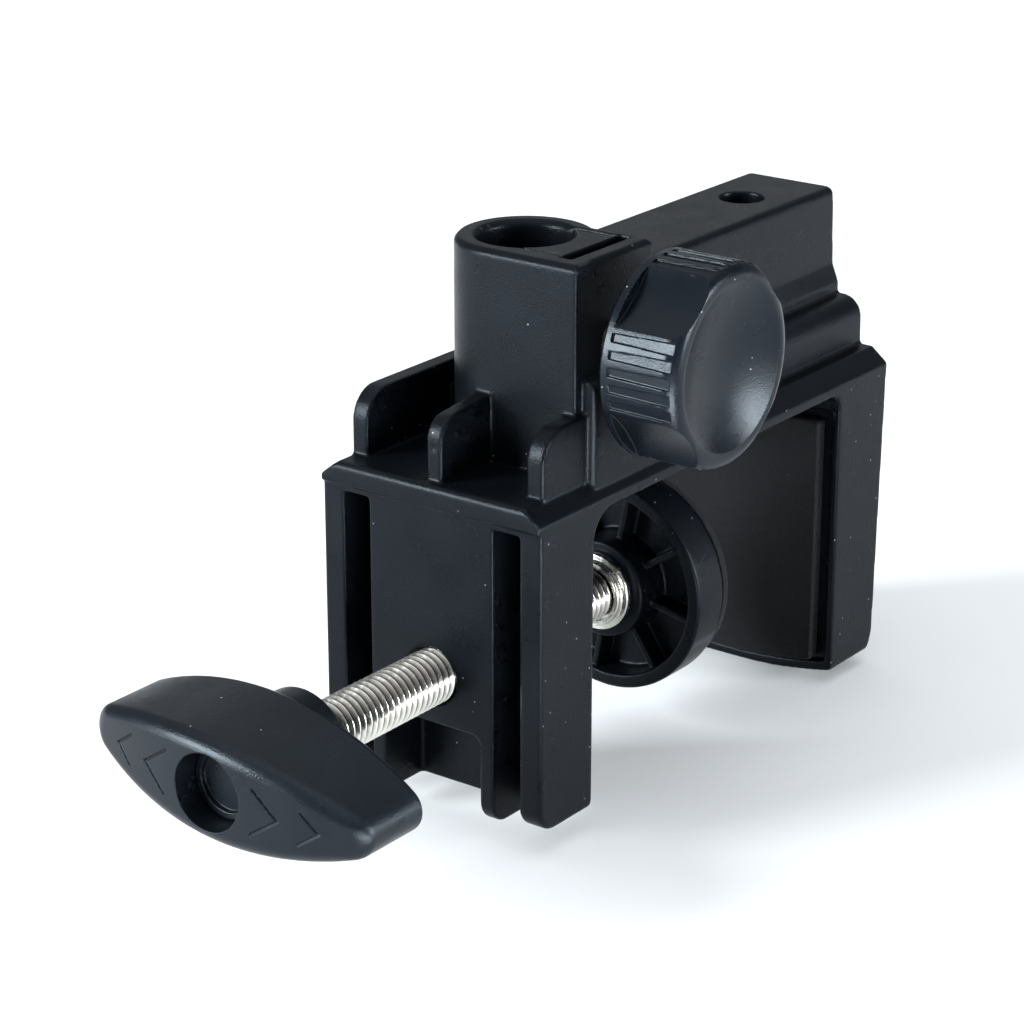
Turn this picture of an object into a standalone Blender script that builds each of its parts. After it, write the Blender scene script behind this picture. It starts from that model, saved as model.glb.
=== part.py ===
"""Umbrella clamp bracket: a screw clamp with a pole socket and a lock knob.

Metres, +Z up. The origin is the middle of the jaw pad's face, on the clamp screw's axis.
+Y runs from the handle to the jaw, and +X points at the lock knob.
"""

import math

import bmesh
import bpy
from mathutils import Matrix, Vector

GAP = 0.0003                      # clearance between pieces that touch

# Clamp body: leg, bridge and jaw
BODY_WIDTH = 0.0469
HALF = BODY_WIDTH / 2
THROAT = 0.0801                   # from the leg's rear face to the jaw's rim
JAW_RIM_Y = 0.0021
JAW_REAR_Y = 0.0196
JAW_LEAN = 0.0018                 # how far the jaw's rear face draws in at its foot
JAW_FOOT_Z = -0.0286
JAW_ARC = 0.108                   # radius of the jaw's curved foot
LEG_REAR_Y = JAW_RIM_Y - THROAT
LEG_DEPTH = 0.0153
LEG_FRONT_Y = LEG_REAR_Y - LEG_DEPTH
LEG_FOOT_Z = -0.0238
LEG_MID_FOOT_Z = -0.0250
PLATE_TOP_Z = 0.0352
PLATE_UNDER_Z = 0.0305
BEVEL_X = 0.0200                  # where the plate's side bevel starts
BEVEL_Z = 0.0324                  # where it ends, on the side wall
BAND_DEPTH = 0.0004
BAND_FOOT_Z = 0.0312

# Leg slots and foot pocket
SLOT_INNER_X = 0.0133
SLOT_OUTER_X = 0.0189
SLOT_DEPTH = 0.0115
SLOT_TOP_Z = 0.0298
POCKET_HALF = 0.0104
POCKET_DEPTH = 0.0105
POCKET_TOP_Z = -0.0088

# Hollows in the jaw's rear face
HOLLOW_MIDDLES = (-0.0148, 0.0, 0.0148)
HOLLOW_HALF = 0.0060
HOLLOW_FOOT_Z = -0.0215
HOLLOW_TOP_Z = 0.0255
HOLLOW_FRONT_Y = 0.0078

# Beam along the bridge
BEAM_HALF = 0.0099
BEAM_TOP_Z = 0.0649
BEAM_FLARE = ((0.0104, 0.0500), (0.0118, 0.0464))   # (x, z) down the beam's side
BEAM_REAR_Y = JAW_REAR_Y + 0.0003
STEP_HALF = 0.0172
STEP_TOP_Z = 0.0444
CORE_HALF = 0.0065
CORE_FRONT_Y = -0.0470
CORE_REAR_Y = -0.0050
CORE_TOP_Z = 0.0610

# Pole socket, its boss and the ribs around it
SOCKET_Y = -0.0657
SOCKET_TOP_Z = 0.07295
SOCKET_FLOOR_Z = 0.0333
BORE_R = 0.00857
MOUTH_CHAMFER = 0.0007
TUBE_R = 0.01250
BOSS_X = 0.01935
BOSS_FRONT_Y = SOCKET_Y - TUBE_R
BOSS_REAR_Y = -0.0555
LOW_BOSS_X = 0.0220
LOW_BOSS_FRONT_Y = -0.0763
LOW_BOSS_REAR_Y = -0.0500
LOW_BOSS_TOP_Z = 0.0529
RIB_TOP_Z = 0.0469
RIB_INNER_X = 0.0170
RIB_OUTER_X = 0.0205
RIB_FRONT_Y = -0.0888
RIB_CORNER = 0.0058
LONG_RIB_REAR_Y = -0.0560
MID_RIB_HALF = 0.0016
MID_RIB_FRONT_Y = -0.0920
LEG_MIDDLE_HALF = 0.0160

# Accessory hole over the jaw
HOLE_R = 0.00422
HOLE_Y = 0.0027
HOLE_FLOOR_Z = 0.0400

# Jaw pad and its recess
PAD_HALF = 0.0199
PAD_TOP_Z = 0.0247
PAD_THICKNESS = 0.0030
PAD_FOOT_ARC = JAW_ARC - 0.0028
RECESS_HALF = 0.0219
RECESS_TOP_Z = 0.0267
RECESS_ARC = JAW_ARC - 0.0020
RECESS_FLOOR_Y = PAD_THICKNESS + GAP

# Clamp screw, M10 x 1.5
SCREW_R = 0.0050
SCREW_SHOULDER_Y = -0.0450
SCREW_NECK_R = 0.0035
SCREW_NECK_END_Y = -0.0317
SCREW_GROOVE_Y = (-0.0334, -0.0322)
SCREW_GROOVE_R = 0.0028
CLIP_R = 0.0062
CLIP_MOUTH = 0.0042
DRIVE_FLATS = 0.0110
DRIVE_FRONT_Y = -0.1450
DRIVE_REAR_Y = -0.1372
NUT_FLATS = 0.0160
NUT_THICKNESS = 0.0077

# Pressure pad on the screw's end
DISC_R = 0.0203
DISC_FRONT_Y = -0.0403
DISC_REAR_Y = -0.0313
RIM_INNER_R = 0.0177
WEB_FRONT_Y = -0.0355
HUB_R = 0.0093
HUB_FRONT_Y = -0.0428
HUB_BORE_R = SCREW_NECK_R + GAP
CLIP_RECESS_R = 0.0075
CLIP_RECESS_Y = -0.0338
SPOKES = 8
SPOKE_WIDTH = 0.0012
SPOKE_FRONT_Y = -0.0395
FACING_R = 0.0196
FACING_THICKNESS = 0.0020
WASHER_R = 0.0074
COLLAR_R = 0.0064

# Clamp handle
HANDLE_LENGTH = 0.0580
HANDLE_FRONT_HALF = 0.0090
HANDLE_REAR_HALF = 0.0106
HANDLE_FRONT_Y = -0.1515
HANDLE_BOW = 0.0050
HANDLE_REAR_Y = -0.1317
HANDLE_TILT = math.radians(-6.0)
HANDLE_BOSS_R = 0.0100
HANDLE_BOSS_REAR_Y = -0.1273
DIMPLE_R = 0.0067
DIMPLE_FLOOR_Y = -0.1468
CAP_FACE_Y = DIMPLE_FLOOR_Y + 0.0020
HANDLE_FILLET = 0.0022
HANDLE_REAR_FILLET = 0.0012
HANDLE_TIP_R = 0.0040

# Lock knob, stud, plate nut and shoe
LOCK_Z = 0.0568
KNOB_R = 0.0178
KNOB_BACK_X = 0.0273
KNOB_FACE_X = 0.0425
KNOB_FLANGE = 0.0020
KNOB_HUB_R = 0.0095
KNOB_HUB_X = 0.0255
KNOB_DISH = 0.0026
KNOB_RIM = 0.0020
KNOB_GROUPS = 4
KNOB_TURN = math.radians(-4.1)       # first group of grooves, from +Y toward +Z
KNOB_GROOVES = 5
GROOVE_STEP = math.radians(9.4)
GROOVE_WIDTH = 0.00146
GROOVE_FLARE = 1.4                   # width at the face over width at the flange
GROOVE_DEPTH = 0.0004
SCALLOP_R = 0.0250
SCALLOP_DEPTH = 0.0020
STUD_R = 0.0040
STUD_HEAD_FLATS = 0.0130
STUD_HEAD_X = (0.0262, 0.0315)
SHOE_HALF = 0.0078
SHOE_BACK_X = 0.0130
SHOE_FOOT_Z = 0.0445
PLATE_NUT_X = (0.0133, 0.0155)
PLATE_NUT_HALF = 0.0086
PLATE_NUT_Z = (SHOE_FOOT_Z, 0.0662)

AXES = {"X": Matrix.Rotation(math.pi / 2, 4, "Y"), "Y": Matrix.Rotation(-math.pi / 2, 4, "X"),
        "Z": Matrix.Identity(4)}
PLANES = {"YZ": Matrix(((0, 0, 1, 0), (1, 0, 0, 0), (0, 1, 0, 0), (0, 0, 0, 1))),
          "XZ": Matrix(((1, 0, 0, 0), (0, 0, -1, 0), (0, 1, 0, 0), (0, 0, 0, 1))),
          "XY": Matrix.Identity(4)}


# ---------------------------------------------------------------- scene and materials

def clear_scene():
    for item in list(bpy.data.objects):
        bpy.data.objects.remove(item, do_unlink=True)


def new_collection(name):
    group = bpy.data.collections.new(name)
    bpy.context.scene.collection.children.link(group)
    return group


def plastic(name, colour, roughness, metallic=0.0):
    material = bpy.data.materials.new(name)
    material.use_nodes = True
    shader = material.node_tree.nodes["Principled BSDF"]
    shader.inputs["Base Color"].default_value = (*colour, 1.0)
    shader.inputs["Roughness"].default_value = roughness
    shader.inputs["Metallic"].default_value = metallic
    return material


# ---------------------------------------------------------------- shape helpers

def mesh_object(name, mesh, group):
    item = bpy.data.objects.new(name, mesh)
    group.objects.link(item)
    return item


def from_bmesh(name, work, group):
    bmesh.ops.recalc_face_normals(work, faces=work.faces)
    mesh = bpy.data.meshes.new(name)
    work.to_mesh(mesh)
    work.free()
    return mesh_object(name, mesh, group)


def box(name, low, high, group):
    work = bmesh.new()
    bmesh.ops.create_cube(work, size=1.0)
    size = Vector(high) - Vector(low)
    middle = (Vector(high) + Vector(low)) / 2
    place = Matrix.Translation(middle) @ Matrix.Diagonal((*size, 1.0))
    bmesh.ops.transform(work, matrix=place, verts=work.verts)
    return from_bmesh(name, work, group)


def rod(name, axis, centre, low, high, radius, group, sides=32, end_radius=None, spin=0.0):
    """A cylinder, cone or regular prism from low to high along an axis through centre."""
    work = bmesh.new()
    tip = radius if end_radius is None else end_radius
    bmesh.ops.create_cone(work, cap_ends=True, segments=sides, radius1=radius, radius2=tip,
                          depth=high - low)
    place = Vector(centre)
    place["XYZ".index(axis)] = (low + high) / 2
    matrix = Matrix.Translation(place) @ AXES[axis] @ Matrix.Rotation(spin, 4, "Z")
    bmesh.ops.transform(work, matrix=matrix, verts=work.verts)
    return from_bmesh(name, work, group)


def hexagon(name, axis, centre, low, high, flats, group):
    """A hexagonal prism with flats facing up and down."""
    radius = flats / math.sqrt(3)
    spin = 0.0 if axis == "X" else math.pi / 6
    return rod(name, axis, centre, low, high, radius, group, sides=6, spin=spin)


def rounded(corners, steps=4):
    """Turn corner points (u, v, radius) into an outline whose corners are arcs."""
    points = []
    for index, (u, v, radius) in enumerate(corners):
        here = Vector((u, v))
        if radius <= 0:
            points.append(here)
            continue
        before = Vector(corners[index - 1][:2])
        after = Vector(corners[(index + 1) % len(corners)][:2])
        arm_in = (before - here).normalized()
        arm_out = (after - here).normalized()
        half_angle = arm_in.angle(arm_out) / 2
        reach = radius / math.tan(half_angle)
        centre = here + (arm_in + arm_out).normalized() * (radius / math.sin(half_angle))
        start = here + arm_in * reach - centre
        sweep = signed_angle(start, here + arm_out * reach - centre)
        for step in range(steps + 1):
            turn = Matrix.Rotation(sweep * step / steps, 2)
            points.append(centre + turn @ start)
    return [(point.x, point.y) for point in points]


def signed_angle(start, end):
    """Angle that turns one vector onto another, by the shorter way."""
    return math.atan2(start.x * end.y - start.y * end.x, start.dot(end))


def outline_solid(name, points, plane, low, high, group):
    """A flat outline, drawn as a filled 2D curve and extruded from low to high across it."""
    curve = bpy.data.curves.new(name, "CURVE")
    curve.dimensions = "2D"
    curve.fill_mode = "BOTH"
    curve.extrude = (high - low) / 2
    spline = curve.splines.new("POLY")
    spline.points.add(len(points) - 1)
    for spot, (u, v) in zip(spline.points, points):
        spot.co = (u, v, 0.0, 1.0)
    spline.use_cyclic_u = True
    item = bpy.data.objects.new(name, curve)
    matrix = PLANES[plane].copy()
    across = matrix.col[2].to_3d()
    matrix.translation = across * (low + high) / 2 * (-1 if plane == "XZ" else 1)
    item.matrix_world = matrix
    group.objects.link(item)
    return curve_to_mesh(item, group)


def curve_to_mesh(item, group):
    name = item.name
    bpy.context.view_layer.update()
    seen = item.evaluated_get(bpy.context.evaluated_depsgraph_get())
    mesh = bpy.data.meshes.new_from_object(seen)
    mesh.transform(item.matrix_world)
    curve = item.data
    bpy.data.objects.remove(item, do_unlink=True)
    bpy.data.curves.remove(curve)
    work = bmesh.new()
    work.from_mesh(mesh)
    bpy.data.meshes.remove(mesh)
    bmesh.ops.remove_doubles(work, verts=work.verts, dist=1e-6)
    bmesh.ops.dissolve_limit(work, angle_limit=math.radians(0.5), verts=work.verts,
                             edges=work.edges)
    return from_bmesh(name, work, group)


def turned(name, axis, centre, profile, group, sides=48):
    """A solid of revolution. The profile holds (radius, position along the axis).

    It starts and ends on the axis, or is a closed ring clear of it.
    """
    mesh = bpy.data.meshes.new(name)
    count = len(profile)
    ring = profile[0][0] > 1e-6
    edges = [(index, (index + 1) % count) for index in range(count if ring else count - 1)]
    mesh.from_pydata([(radius, 0.0, along) for radius, along in profile], edges, [])
    item = mesh_object(name, mesh, group)
    spin = item.modifiers.new("Turn", "SCREW")
    spin.steps = sides
    spin.render_steps = sides
    spin.use_merge_vertices = True
    spin.merge_threshold = 1e-6
    bpy.context.view_layer.update()
    seen = item.evaluated_get(bpy.context.evaluated_depsgraph_get())
    solid = bpy.data.meshes.new_from_object(seen)
    place = Vector(centre)
    place["XYZ".index(axis)] = 0.0
    solid.transform(Matrix.Translation(place) @ AXES[axis])
    bpy.data.objects.remove(item, do_unlink=True)
    bpy.data.meshes.remove(mesh)
    work = bmesh.new()
    work.from_mesh(solid)
    bpy.data.meshes.remove(solid)
    bmesh.ops.remove_doubles(work, verts=work.verts, dist=1e-6)
    return from_bmesh(name, work, group)


def combine(item, tool, operation):
    step = item.modifiers.new(tool.name, "BOOLEAN")
    step.operation = operation
    step.solver = "EXACT"
    step.object = tool
    tool.hide_render = True
    tool.display_type = "WIRE"


def finish(item, material, smooth=True, angle=35.0):
    item.data.materials.clear()
    item.data.materials.append(material)
    if smooth:
        item.data.shade_smooth()
        item.data.set_sharp_from_angle(angle=math.radians(angle))
    return item


def set_origin(item, point):
    """Put a piece's origin on its joint axis without moving the piece."""
    item.data.transform(Matrix.Translation(-Vector(point)))
    item.location = point


# ---------------------------------------------------------------- clamp body

def arc_foot(half, radius, steps=12):
    """Points along the curved foot, from +half to -half, about the jaw's arc centre."""
    centre = JAW_FOOT_Z + JAW_ARC
    points = []
    for step in range(steps + 1):
        x = half - 2 * half * step / steps
        points.append((x, centre - math.sqrt(radius * radius - x * x)))
    return points


def frame_solid(tools, parts):
    """The C-shaped frame: its side outline, kept within its front outline."""
    side = rounded([
        (LEG_FRONT_Y, PLATE_TOP_Z, 0), (LEG_FRONT_Y, LEG_FOOT_Z, 0.004),
        (LEG_REAR_Y, LEG_FOOT_Z, 0.0008), (LEG_REAR_Y, PLATE_UNDER_Z, 0.006),
        (JAW_RIM_Y, PLATE_UNDER_Z, 0.003), (JAW_RIM_Y, JAW_FOOT_Z, 0.0008),
        (JAW_REAR_Y - JAW_LEAN, JAW_FOOT_Z, 0.007), (JAW_REAR_Y, PLATE_TOP_Z, 0)])
    body = outline_solid("clamp_body", side, "YZ", -HALF, HALF, parts)
    notch_z = PLATE_TOP_Z + 0.005
    front = [(-HALF, BEVEL_Z), (-BEVEL_X, PLATE_TOP_Z), (-BEVEL_X, notch_z), (BEVEL_X, notch_z),
             (BEVEL_X, PLATE_TOP_Z), (HALF, BEVEL_Z)]
    front += arc_foot(HALF, JAW_ARC)
    keep = outline_solid("cut_front_outline", front, "XZ", LEG_FRONT_Y - 0.01, JAW_REAR_Y + 0.01,
                         tools)
    combine(body, keep, "INTERSECT")
    return body


def rib(name, front, rear, top_front, top_rear, corner, low, high, tools):
    """An upright rib on the plate, along Y, with a rounded front corner."""
    foot = PLATE_TOP_Z - 0.0013
    outline = rounded([(front, foot, 0), (front, top_front, corner), (rear, top_rear, 0),
                       (rear, foot, 0)])
    return outline_solid(name, outline, "YZ", low, high, tools)


def frame_additions(tools):
    """The ribs, the front band and the deeper middle of the leg."""
    top = RIB_TOP_Z
    yield rib("add_rib_right", RIB_FRONT_Y, BOSS_FRONT_Y - GAP, top, top, RIB_CORNER,
              RIB_INNER_X, RIB_OUTER_X, tools)
    yield rib("add_rib_left", RIB_FRONT_Y, LONG_RIB_REAR_Y, top, top, RIB_CORNER,
              -RIB_OUTER_X, -STEP_HALF - GAP, tools)
    yield rib("add_rib_middle", MID_RIB_FRONT_Y, BOSS_FRONT_Y - GAP, top - 0.0008, top + 0.0006,
              0.0040, -MID_RIB_HALF, MID_RIB_HALF, tools)
    edge = 0.0001
    half = HALF - edge
    band = [(-half, BAND_FOOT_Z), (-half, BEVEL_Z), (-BEVEL_X, PLATE_TOP_Z - edge),
            (BEVEL_X, PLATE_TOP_Z - edge), (half, BEVEL_Z), (half, BAND_FOOT_Z)]
    yield outline_solid("add_front_band", band, "XZ", LEG_FRONT_Y - BAND_DEPTH,
                        LEG_FRONT_Y + 0.001, tools)
    inset = 0.0002
    low_foot = rounded([(LEG_FRONT_Y + inset, 0.0, 0), (LEG_FRONT_Y, LEG_MID_FOOT_Z, 0.004),
                        (LEG_REAR_Y, LEG_MID_FOOT_Z, 0.0008), (LEG_REAR_Y - inset, 0.0, 0)])
    yield outline_solid("add_leg_middle", low_foot, "YZ", -LEG_MIDDLE_HALF, LEG_MIDDLE_HALF, tools)


def bore_cutter(tools):
    """The pole socket's bore, with a chamfer at its mouth."""
    reach = 0.005
    mouth_z = SOCKET_TOP_Z - MOUTH_CHAMFER
    bore = [(0.0, SOCKET_TOP_Z + reach), (BORE_R + reach + MOUTH_CHAMFER, SOCKET_TOP_Z + reach),
            (BORE_R, mouth_z), (BORE_R, SOCKET_FLOOR_Z), (0.0, SOCKET_FLOOR_Z)]
    return turned("cut_bore", "Z", (0, SOCKET_Y, 0), bore, tools)


def core_cutter(tools):
    """The hollow inside the beam, open through the plate below it."""
    foot = PLATE_UNDER_Z - 0.01
    core = rounded([(-CORE_HALF, foot, 0), (CORE_HALF, foot, 0), (CORE_HALF, CORE_TOP_Z, 0.0015),
                    (-CORE_HALF, CORE_TOP_Z, 0.0015)], steps=2)
    return outline_solid("cut_beam_core", core, "XZ", CORE_FRONT_Y, CORE_REAR_Y, tools)


def leg_cuts(tools):
    """The leg's slots, foot pocket, screw hole and nut pocket."""
    below = LEG_FOOT_Z - 0.01
    front = LEG_FRONT_Y - 0.01
    for side, word in ((-1, "left"), (1, "right")):
        low, high = sorted((side * SLOT_INNER_X, side * SLOT_OUTER_X))
        yield box(f"cut_slot_{word}", (low, front, below), (high, LEG_FRONT_Y + SLOT_DEPTH, SLOT_TOP_Z),
                  tools)
    pocket = rounded([(-POCKET_HALF, below, 0), (POCKET_HALF, below, 0),
                      (POCKET_HALF, POCKET_TOP_Z, 0.002), (-POCKET_HALF, POCKET_TOP_Z, 0.002)], steps=3)
    yield outline_solid("cut_foot_pocket", pocket, "XZ", front, LEG_FRONT_Y + POCKET_DEPTH, tools)
    yield rod("cut_screw_hole", "Y", (0, 0, 0), front, LEG_REAR_Y + 0.01, SCREW_R + GAP, tools)
    yield hexagon("cut_nut_pocket", "Y", (0, 0, 0), LEG_REAR_Y - NUT_THICKNESS - 2 * GAP,
                  LEG_REAR_Y + 0.01, NUT_FLATS + 2 * GAP, tools)


def jaw_cuts(tools):
    """The recess for the jaw pad, and the hollows in the rear face."""
    recess = [(-RECESS_HALF, RECESS_TOP_Z), (RECESS_HALF, RECESS_TOP_Z)]
    recess += arc_foot(RECESS_HALF, RECESS_ARC)
    yield outline_solid("cut_pad_recess", recess, "XZ", JAW_RIM_Y - 0.01, RECESS_FLOOR_Y, tools)
    for index, middle in enumerate(HOLLOW_MIDDLES):
        low, high = middle - HOLLOW_HALF, middle + HOLLOW_HALF
        hollow = rounded([(low, HOLLOW_FOOT_Z, 0.0015), (high, HOLLOW_FOOT_Z, 0.0015),
                          (high, HOLLOW_TOP_Z, 0.0015), (low, HOLLOW_TOP_Z, 0.0015)], steps=2)
        yield outline_solid(f"cut_jaw_hollow_{index}", hollow, "XZ", HOLLOW_FRONT_Y,
                            JAW_REAR_Y + 0.01, tools)


def make_clamp_body(parts, tools, material):
    """The C-shaped frame. The beam and the socket that stand on it are nodes of their own."""
    body = frame_solid(tools, parts)
    for solid in frame_additions(tools):
        combine(body, solid, "UNION")
    for cutter in (*leg_cuts(tools), *jaw_cuts(tools), bore_cutter(tools), core_cutter(tools)):
        combine(body, cutter, "DIFFERENCE")
    return finish(body, material)


def make_bridge_beam(parts, tools, material):
    """The beam that stands on the plate from the socket to the jaw's rear."""
    foot = PLATE_TOP_Z + GAP
    lean = 0.0002
    right = [(STEP_HALF, foot, 0), (STEP_HALF - lean, STEP_TOP_Z, 0.0040),
             (BEAM_FLARE[1][0], STEP_TOP_Z, 0), (*BEAM_FLARE[1], 0), (*BEAM_FLARE[0], 0),
             (BEAM_HALF, BEAM_TOP_Z, 0.0016)]
    left = [(-x, z, radius) for x, z, radius in reversed(right)]
    beam = outline_solid("bridge_beam", rounded(right + left), "XZ", SOCKET_Y, BEAM_REAR_Y, parts)
    around = outline_solid("cut_socket_room", socket_outline(GAP), "XY", foot - 0.01,
                           SOCKET_TOP_Z, tools)
    beside = box("cut_low_boss_room", (-0.001, LOW_BOSS_FRONT_Y - 0.01, foot - 0.01),
                 (LOW_BOSS_X + 0.001, LOW_BOSS_REAR_Y + GAP, LOW_BOSS_TOP_Z + GAP), tools)
    hole = rod("cut_accessory_hole", "Z", (0, HOLE_Y, 0), HOLE_FLOOR_Z, BEAM_TOP_Z + 0.01, HOLE_R,
               tools)
    for cutter in (around, beside, hole, core_cutter(tools)):
        combine(beam, cutter, "DIFFERENCE")
    return finish(beam, material)


def socket_outline(grow=0.0, steps=40):
    """Plan of the socket: a round tube with a square-cornered boss on its +X side."""
    radius = TUBE_R + grow
    side = BOSS_X + grow
    rear = BOSS_REAR_Y + grow - SOCKET_Y
    last = math.pi - math.asin(rear / radius)
    points = [(side, SOCKET_Y - radius), (side, SOCKET_Y + rear)]
    for step in range(steps + 1):
        turn = math.pi - last + (last + math.pi / 2) * step / steps
        points.append((radius * math.cos(turn), SOCKET_Y + radius * math.sin(turn)))
    return points


def shoe_slot():
    """Plan of the slot in the boss: a channel for the shoe, then a wider one for the plate nut."""
    shoe = SHOE_HALF + GAP
    plate = PLATE_NUT_HALF + GAP
    near = PLATE_NUT_X[0] - GAP
    far = PLATE_NUT_X[1] + GAP
    half = [(0.001, shoe), (near, shoe), (near, plate), (far, plate)]
    return [(x, SOCKET_Y + y) for x, y in half] + [(x, SOCKET_Y - y) for x, y in reversed(half)]


def make_pole_socket(parts, tools, material):
    """The socket's tube with the boss that holds the lock, standing on the plate."""
    foot = PLATE_TOP_Z + GAP
    socket = outline_solid("pole_socket", socket_outline(), "XY", foot, SOCKET_TOP_Z, parts)
    slope = (PLATE_TOP_Z - BEVEL_Z) / (HALF - BEVEL_X)
    outline = rounded([(0, LOW_BOSS_TOP_Z, 0), (LOW_BOSS_X, LOW_BOSS_TOP_Z, 0.0022),
                       (LOW_BOSS_X, foot - slope * (LOW_BOSS_X - BEVEL_X), 0), (BEVEL_X, foot, 0),
                       (0, foot, 0)])
    low_boss = outline_solid("add_low_boss", outline, "XZ", LOW_BOSS_FRONT_Y, LOW_BOSS_REAR_Y, tools)
    combine(socket, low_boss, "UNION")
    slot = outline_solid("cut_shoe_slot", shoe_slot(), "XY", SHOE_FOOT_Z - GAP, SOCKET_TOP_Z + 0.01,
                         tools)
    hole = rod("cut_stud_hole", "X", (0, SOCKET_Y, LOCK_Z), 0.012, LOW_BOSS_X + 0.01, STUD_R + GAP,
               tools)
    for cutter in (bore_cutter(tools), slot, hole):
        combine(socket, cutter, "DIFFERENCE")
    return finish(socket, material)


# ---------------------------------------------------------------- pieces fixed to the body

def make_jaw_pad(parts, material):
    outline = [(-PAD_HALF, PAD_TOP_Z), (PAD_HALF, PAD_TOP_Z)] + arc_foot(PAD_HALF, PAD_FOOT_ARC)
    pad = outline_solid("jaw_pad", outline, "XZ", 0.0, PAD_THICKNESS, parts)
    return finish(pad, material)


def make_clamp_nut(parts, tools, material):
    high = LEG_REAR_Y - GAP
    nut = hexagon("clamp_nut", "Y", (0, 0, 0), high - NUT_THICKNESS, high, NUT_FLATS, parts)
    bore = rod("cut_nut_bore", "Y", (0, 0, 0), high - 0.02, high + 0.02, SCREW_R + GAP, tools)
    combine(nut, bore, "DIFFERENCE")
    return finish(nut, material)


def make_plate_nut(parts, tools, material):
    low = (PLATE_NUT_X[0], SOCKET_Y - PLATE_NUT_HALF, PLATE_NUT_Z[0])
    high = (PLATE_NUT_X[1], SOCKET_Y + PLATE_NUT_HALF, PLATE_NUT_Z[1])
    plate = box("lock_plate_nut", low, high, parts)
    bore = rod("cut_plate_bore", "X", (0, SOCKET_Y, LOCK_Z), 0.0, 0.03, STUD_R + GAP, tools)
    combine(plate, bore, "DIFFERENCE")
    return finish(plate, material)


# ---------------------------------------------------------------- pressure pad

def make_pressure_pad(parts, tools, material):
    profile = [
        (HUB_BORE_R, HUB_FRONT_Y), (HUB_BORE_R, CLIP_RECESS_Y), (CLIP_RECESS_R, CLIP_RECESS_Y),
        (CLIP_RECESS_R, DISC_REAR_Y), (DISC_R - 0.0008, DISC_REAR_Y), (DISC_R, DISC_REAR_Y - 0.0008),
        (DISC_R, DISC_FRONT_Y + 0.0005), (DISC_R - 0.0005, DISC_FRONT_Y), (RIM_INNER_R, DISC_FRONT_Y),
        (RIM_INNER_R - 0.0004, WEB_FRONT_Y), (HUB_R + 0.0003, WEB_FRONT_Y), (HUB_R, HUB_FRONT_Y)]
    pad = turned("pressure_pad", "Y", (0, 0, 0), profile, parts)
    for index in range(SPOKES):
        turn = 2 * math.pi * (index + 0.25) / SPOKES
        spoke = box(f"add_spoke_{index}", (HUB_R - 0.0006, SPOKE_FRONT_Y, -SPOKE_WIDTH / 2),
                    (RIM_INNER_R + 0.0006, WEB_FRONT_Y + 0.0006, SPOKE_WIDTH / 2), tools)
        spoke.data.transform(Matrix.Rotation(turn, 4, "Y"))
        combine(pad, spoke, "UNION")
    return finish(pad, material)


def make_pad_facing(parts, material):
    low = DISC_REAR_Y + GAP
    facing = rod("pad_facing", "Y", (0, 0, 0), low, low + FACING_THICKNESS, FACING_R, parts, sides=48)
    return finish(facing, material)


def make_pad_washer(parts, material):
    """Flanged washer between the screw's shoulder and the pad's hub."""
    back = HUB_FRONT_Y - GAP
    flange = back - 0.0014
    collar = back - 0.0028
    inner = SCREW_R + GAP
    shoulder = SCREW_SHOULDER_Y + GAP
    profile = [
        (HUB_BORE_R, back), (WASHER_R, back), (WASHER_R, flange), (COLLAR_R, flange - 0.0002),
        (COLLAR_R, collar), (inner, collar), (inner, shoulder), (HUB_BORE_R, shoulder)]
    return finish(turned("pad_washer", "Y", (0, 0, 0), profile, parts), material)


# ---------------------------------------------------------------- clamp screw and handle

def make_clamp_screw(parts, tools, material):
    low, high = SCREW_GROOVE_Y
    profile = [
        (0.0, SCREW_NECK_END_Y), (SCREW_NECK_R - 0.0004, SCREW_NECK_END_Y),
        (SCREW_NECK_R, SCREW_NECK_END_Y - 0.0004), (SCREW_NECK_R, high), (SCREW_GROOVE_R, high),
        (SCREW_GROOVE_R, low), (SCREW_NECK_R, low), (SCREW_NECK_R, SCREW_SHOULDER_Y),
        (SCREW_R - 0.0004, SCREW_SHOULDER_Y), (SCREW_R, SCREW_SHOULDER_Y - 0.0004),
        (SCREW_R, DRIVE_REAR_Y - 0.001), (0.0, DRIVE_REAR_Y - 0.001)]
    screw = turned("clamp_screw", "Y", (0, 0, 0), profile, parts, sides=32)
    drive = hexagon("add_drive", "Y", (0, 0, 0), DRIVE_FRONT_Y, DRIVE_REAR_Y, DRIVE_FLATS, tools)
    combine(screw, drive, "UNION")
    return finish(screw, material)


def make_screw_clip(parts, tools, material):
    """Retaining clip in the groove behind the pad's hub, open on one side."""
    low = SCREW_GROOVE_Y[0] + 0.0001
    high = SCREW_GROOVE_Y[1] - 0.0001
    inner = SCREW_GROOVE_R + GAP
    profile = [(inner, high), (CLIP_R, high), (CLIP_R, low), (inner, low)]
    clip = turned("screw_clip", "Y", (0, 0, 0), profile, parts, sides=32)
    mouth = box("cut_clip_mouth", (-CLIP_MOUTH / 2, low - 0.01, 0.0),
                (CLIP_MOUTH / 2, high + 0.01, 0.02), tools)
    combine(clip, mouth, "DIFFERENCE")
    return finish(clip, material)


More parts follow.
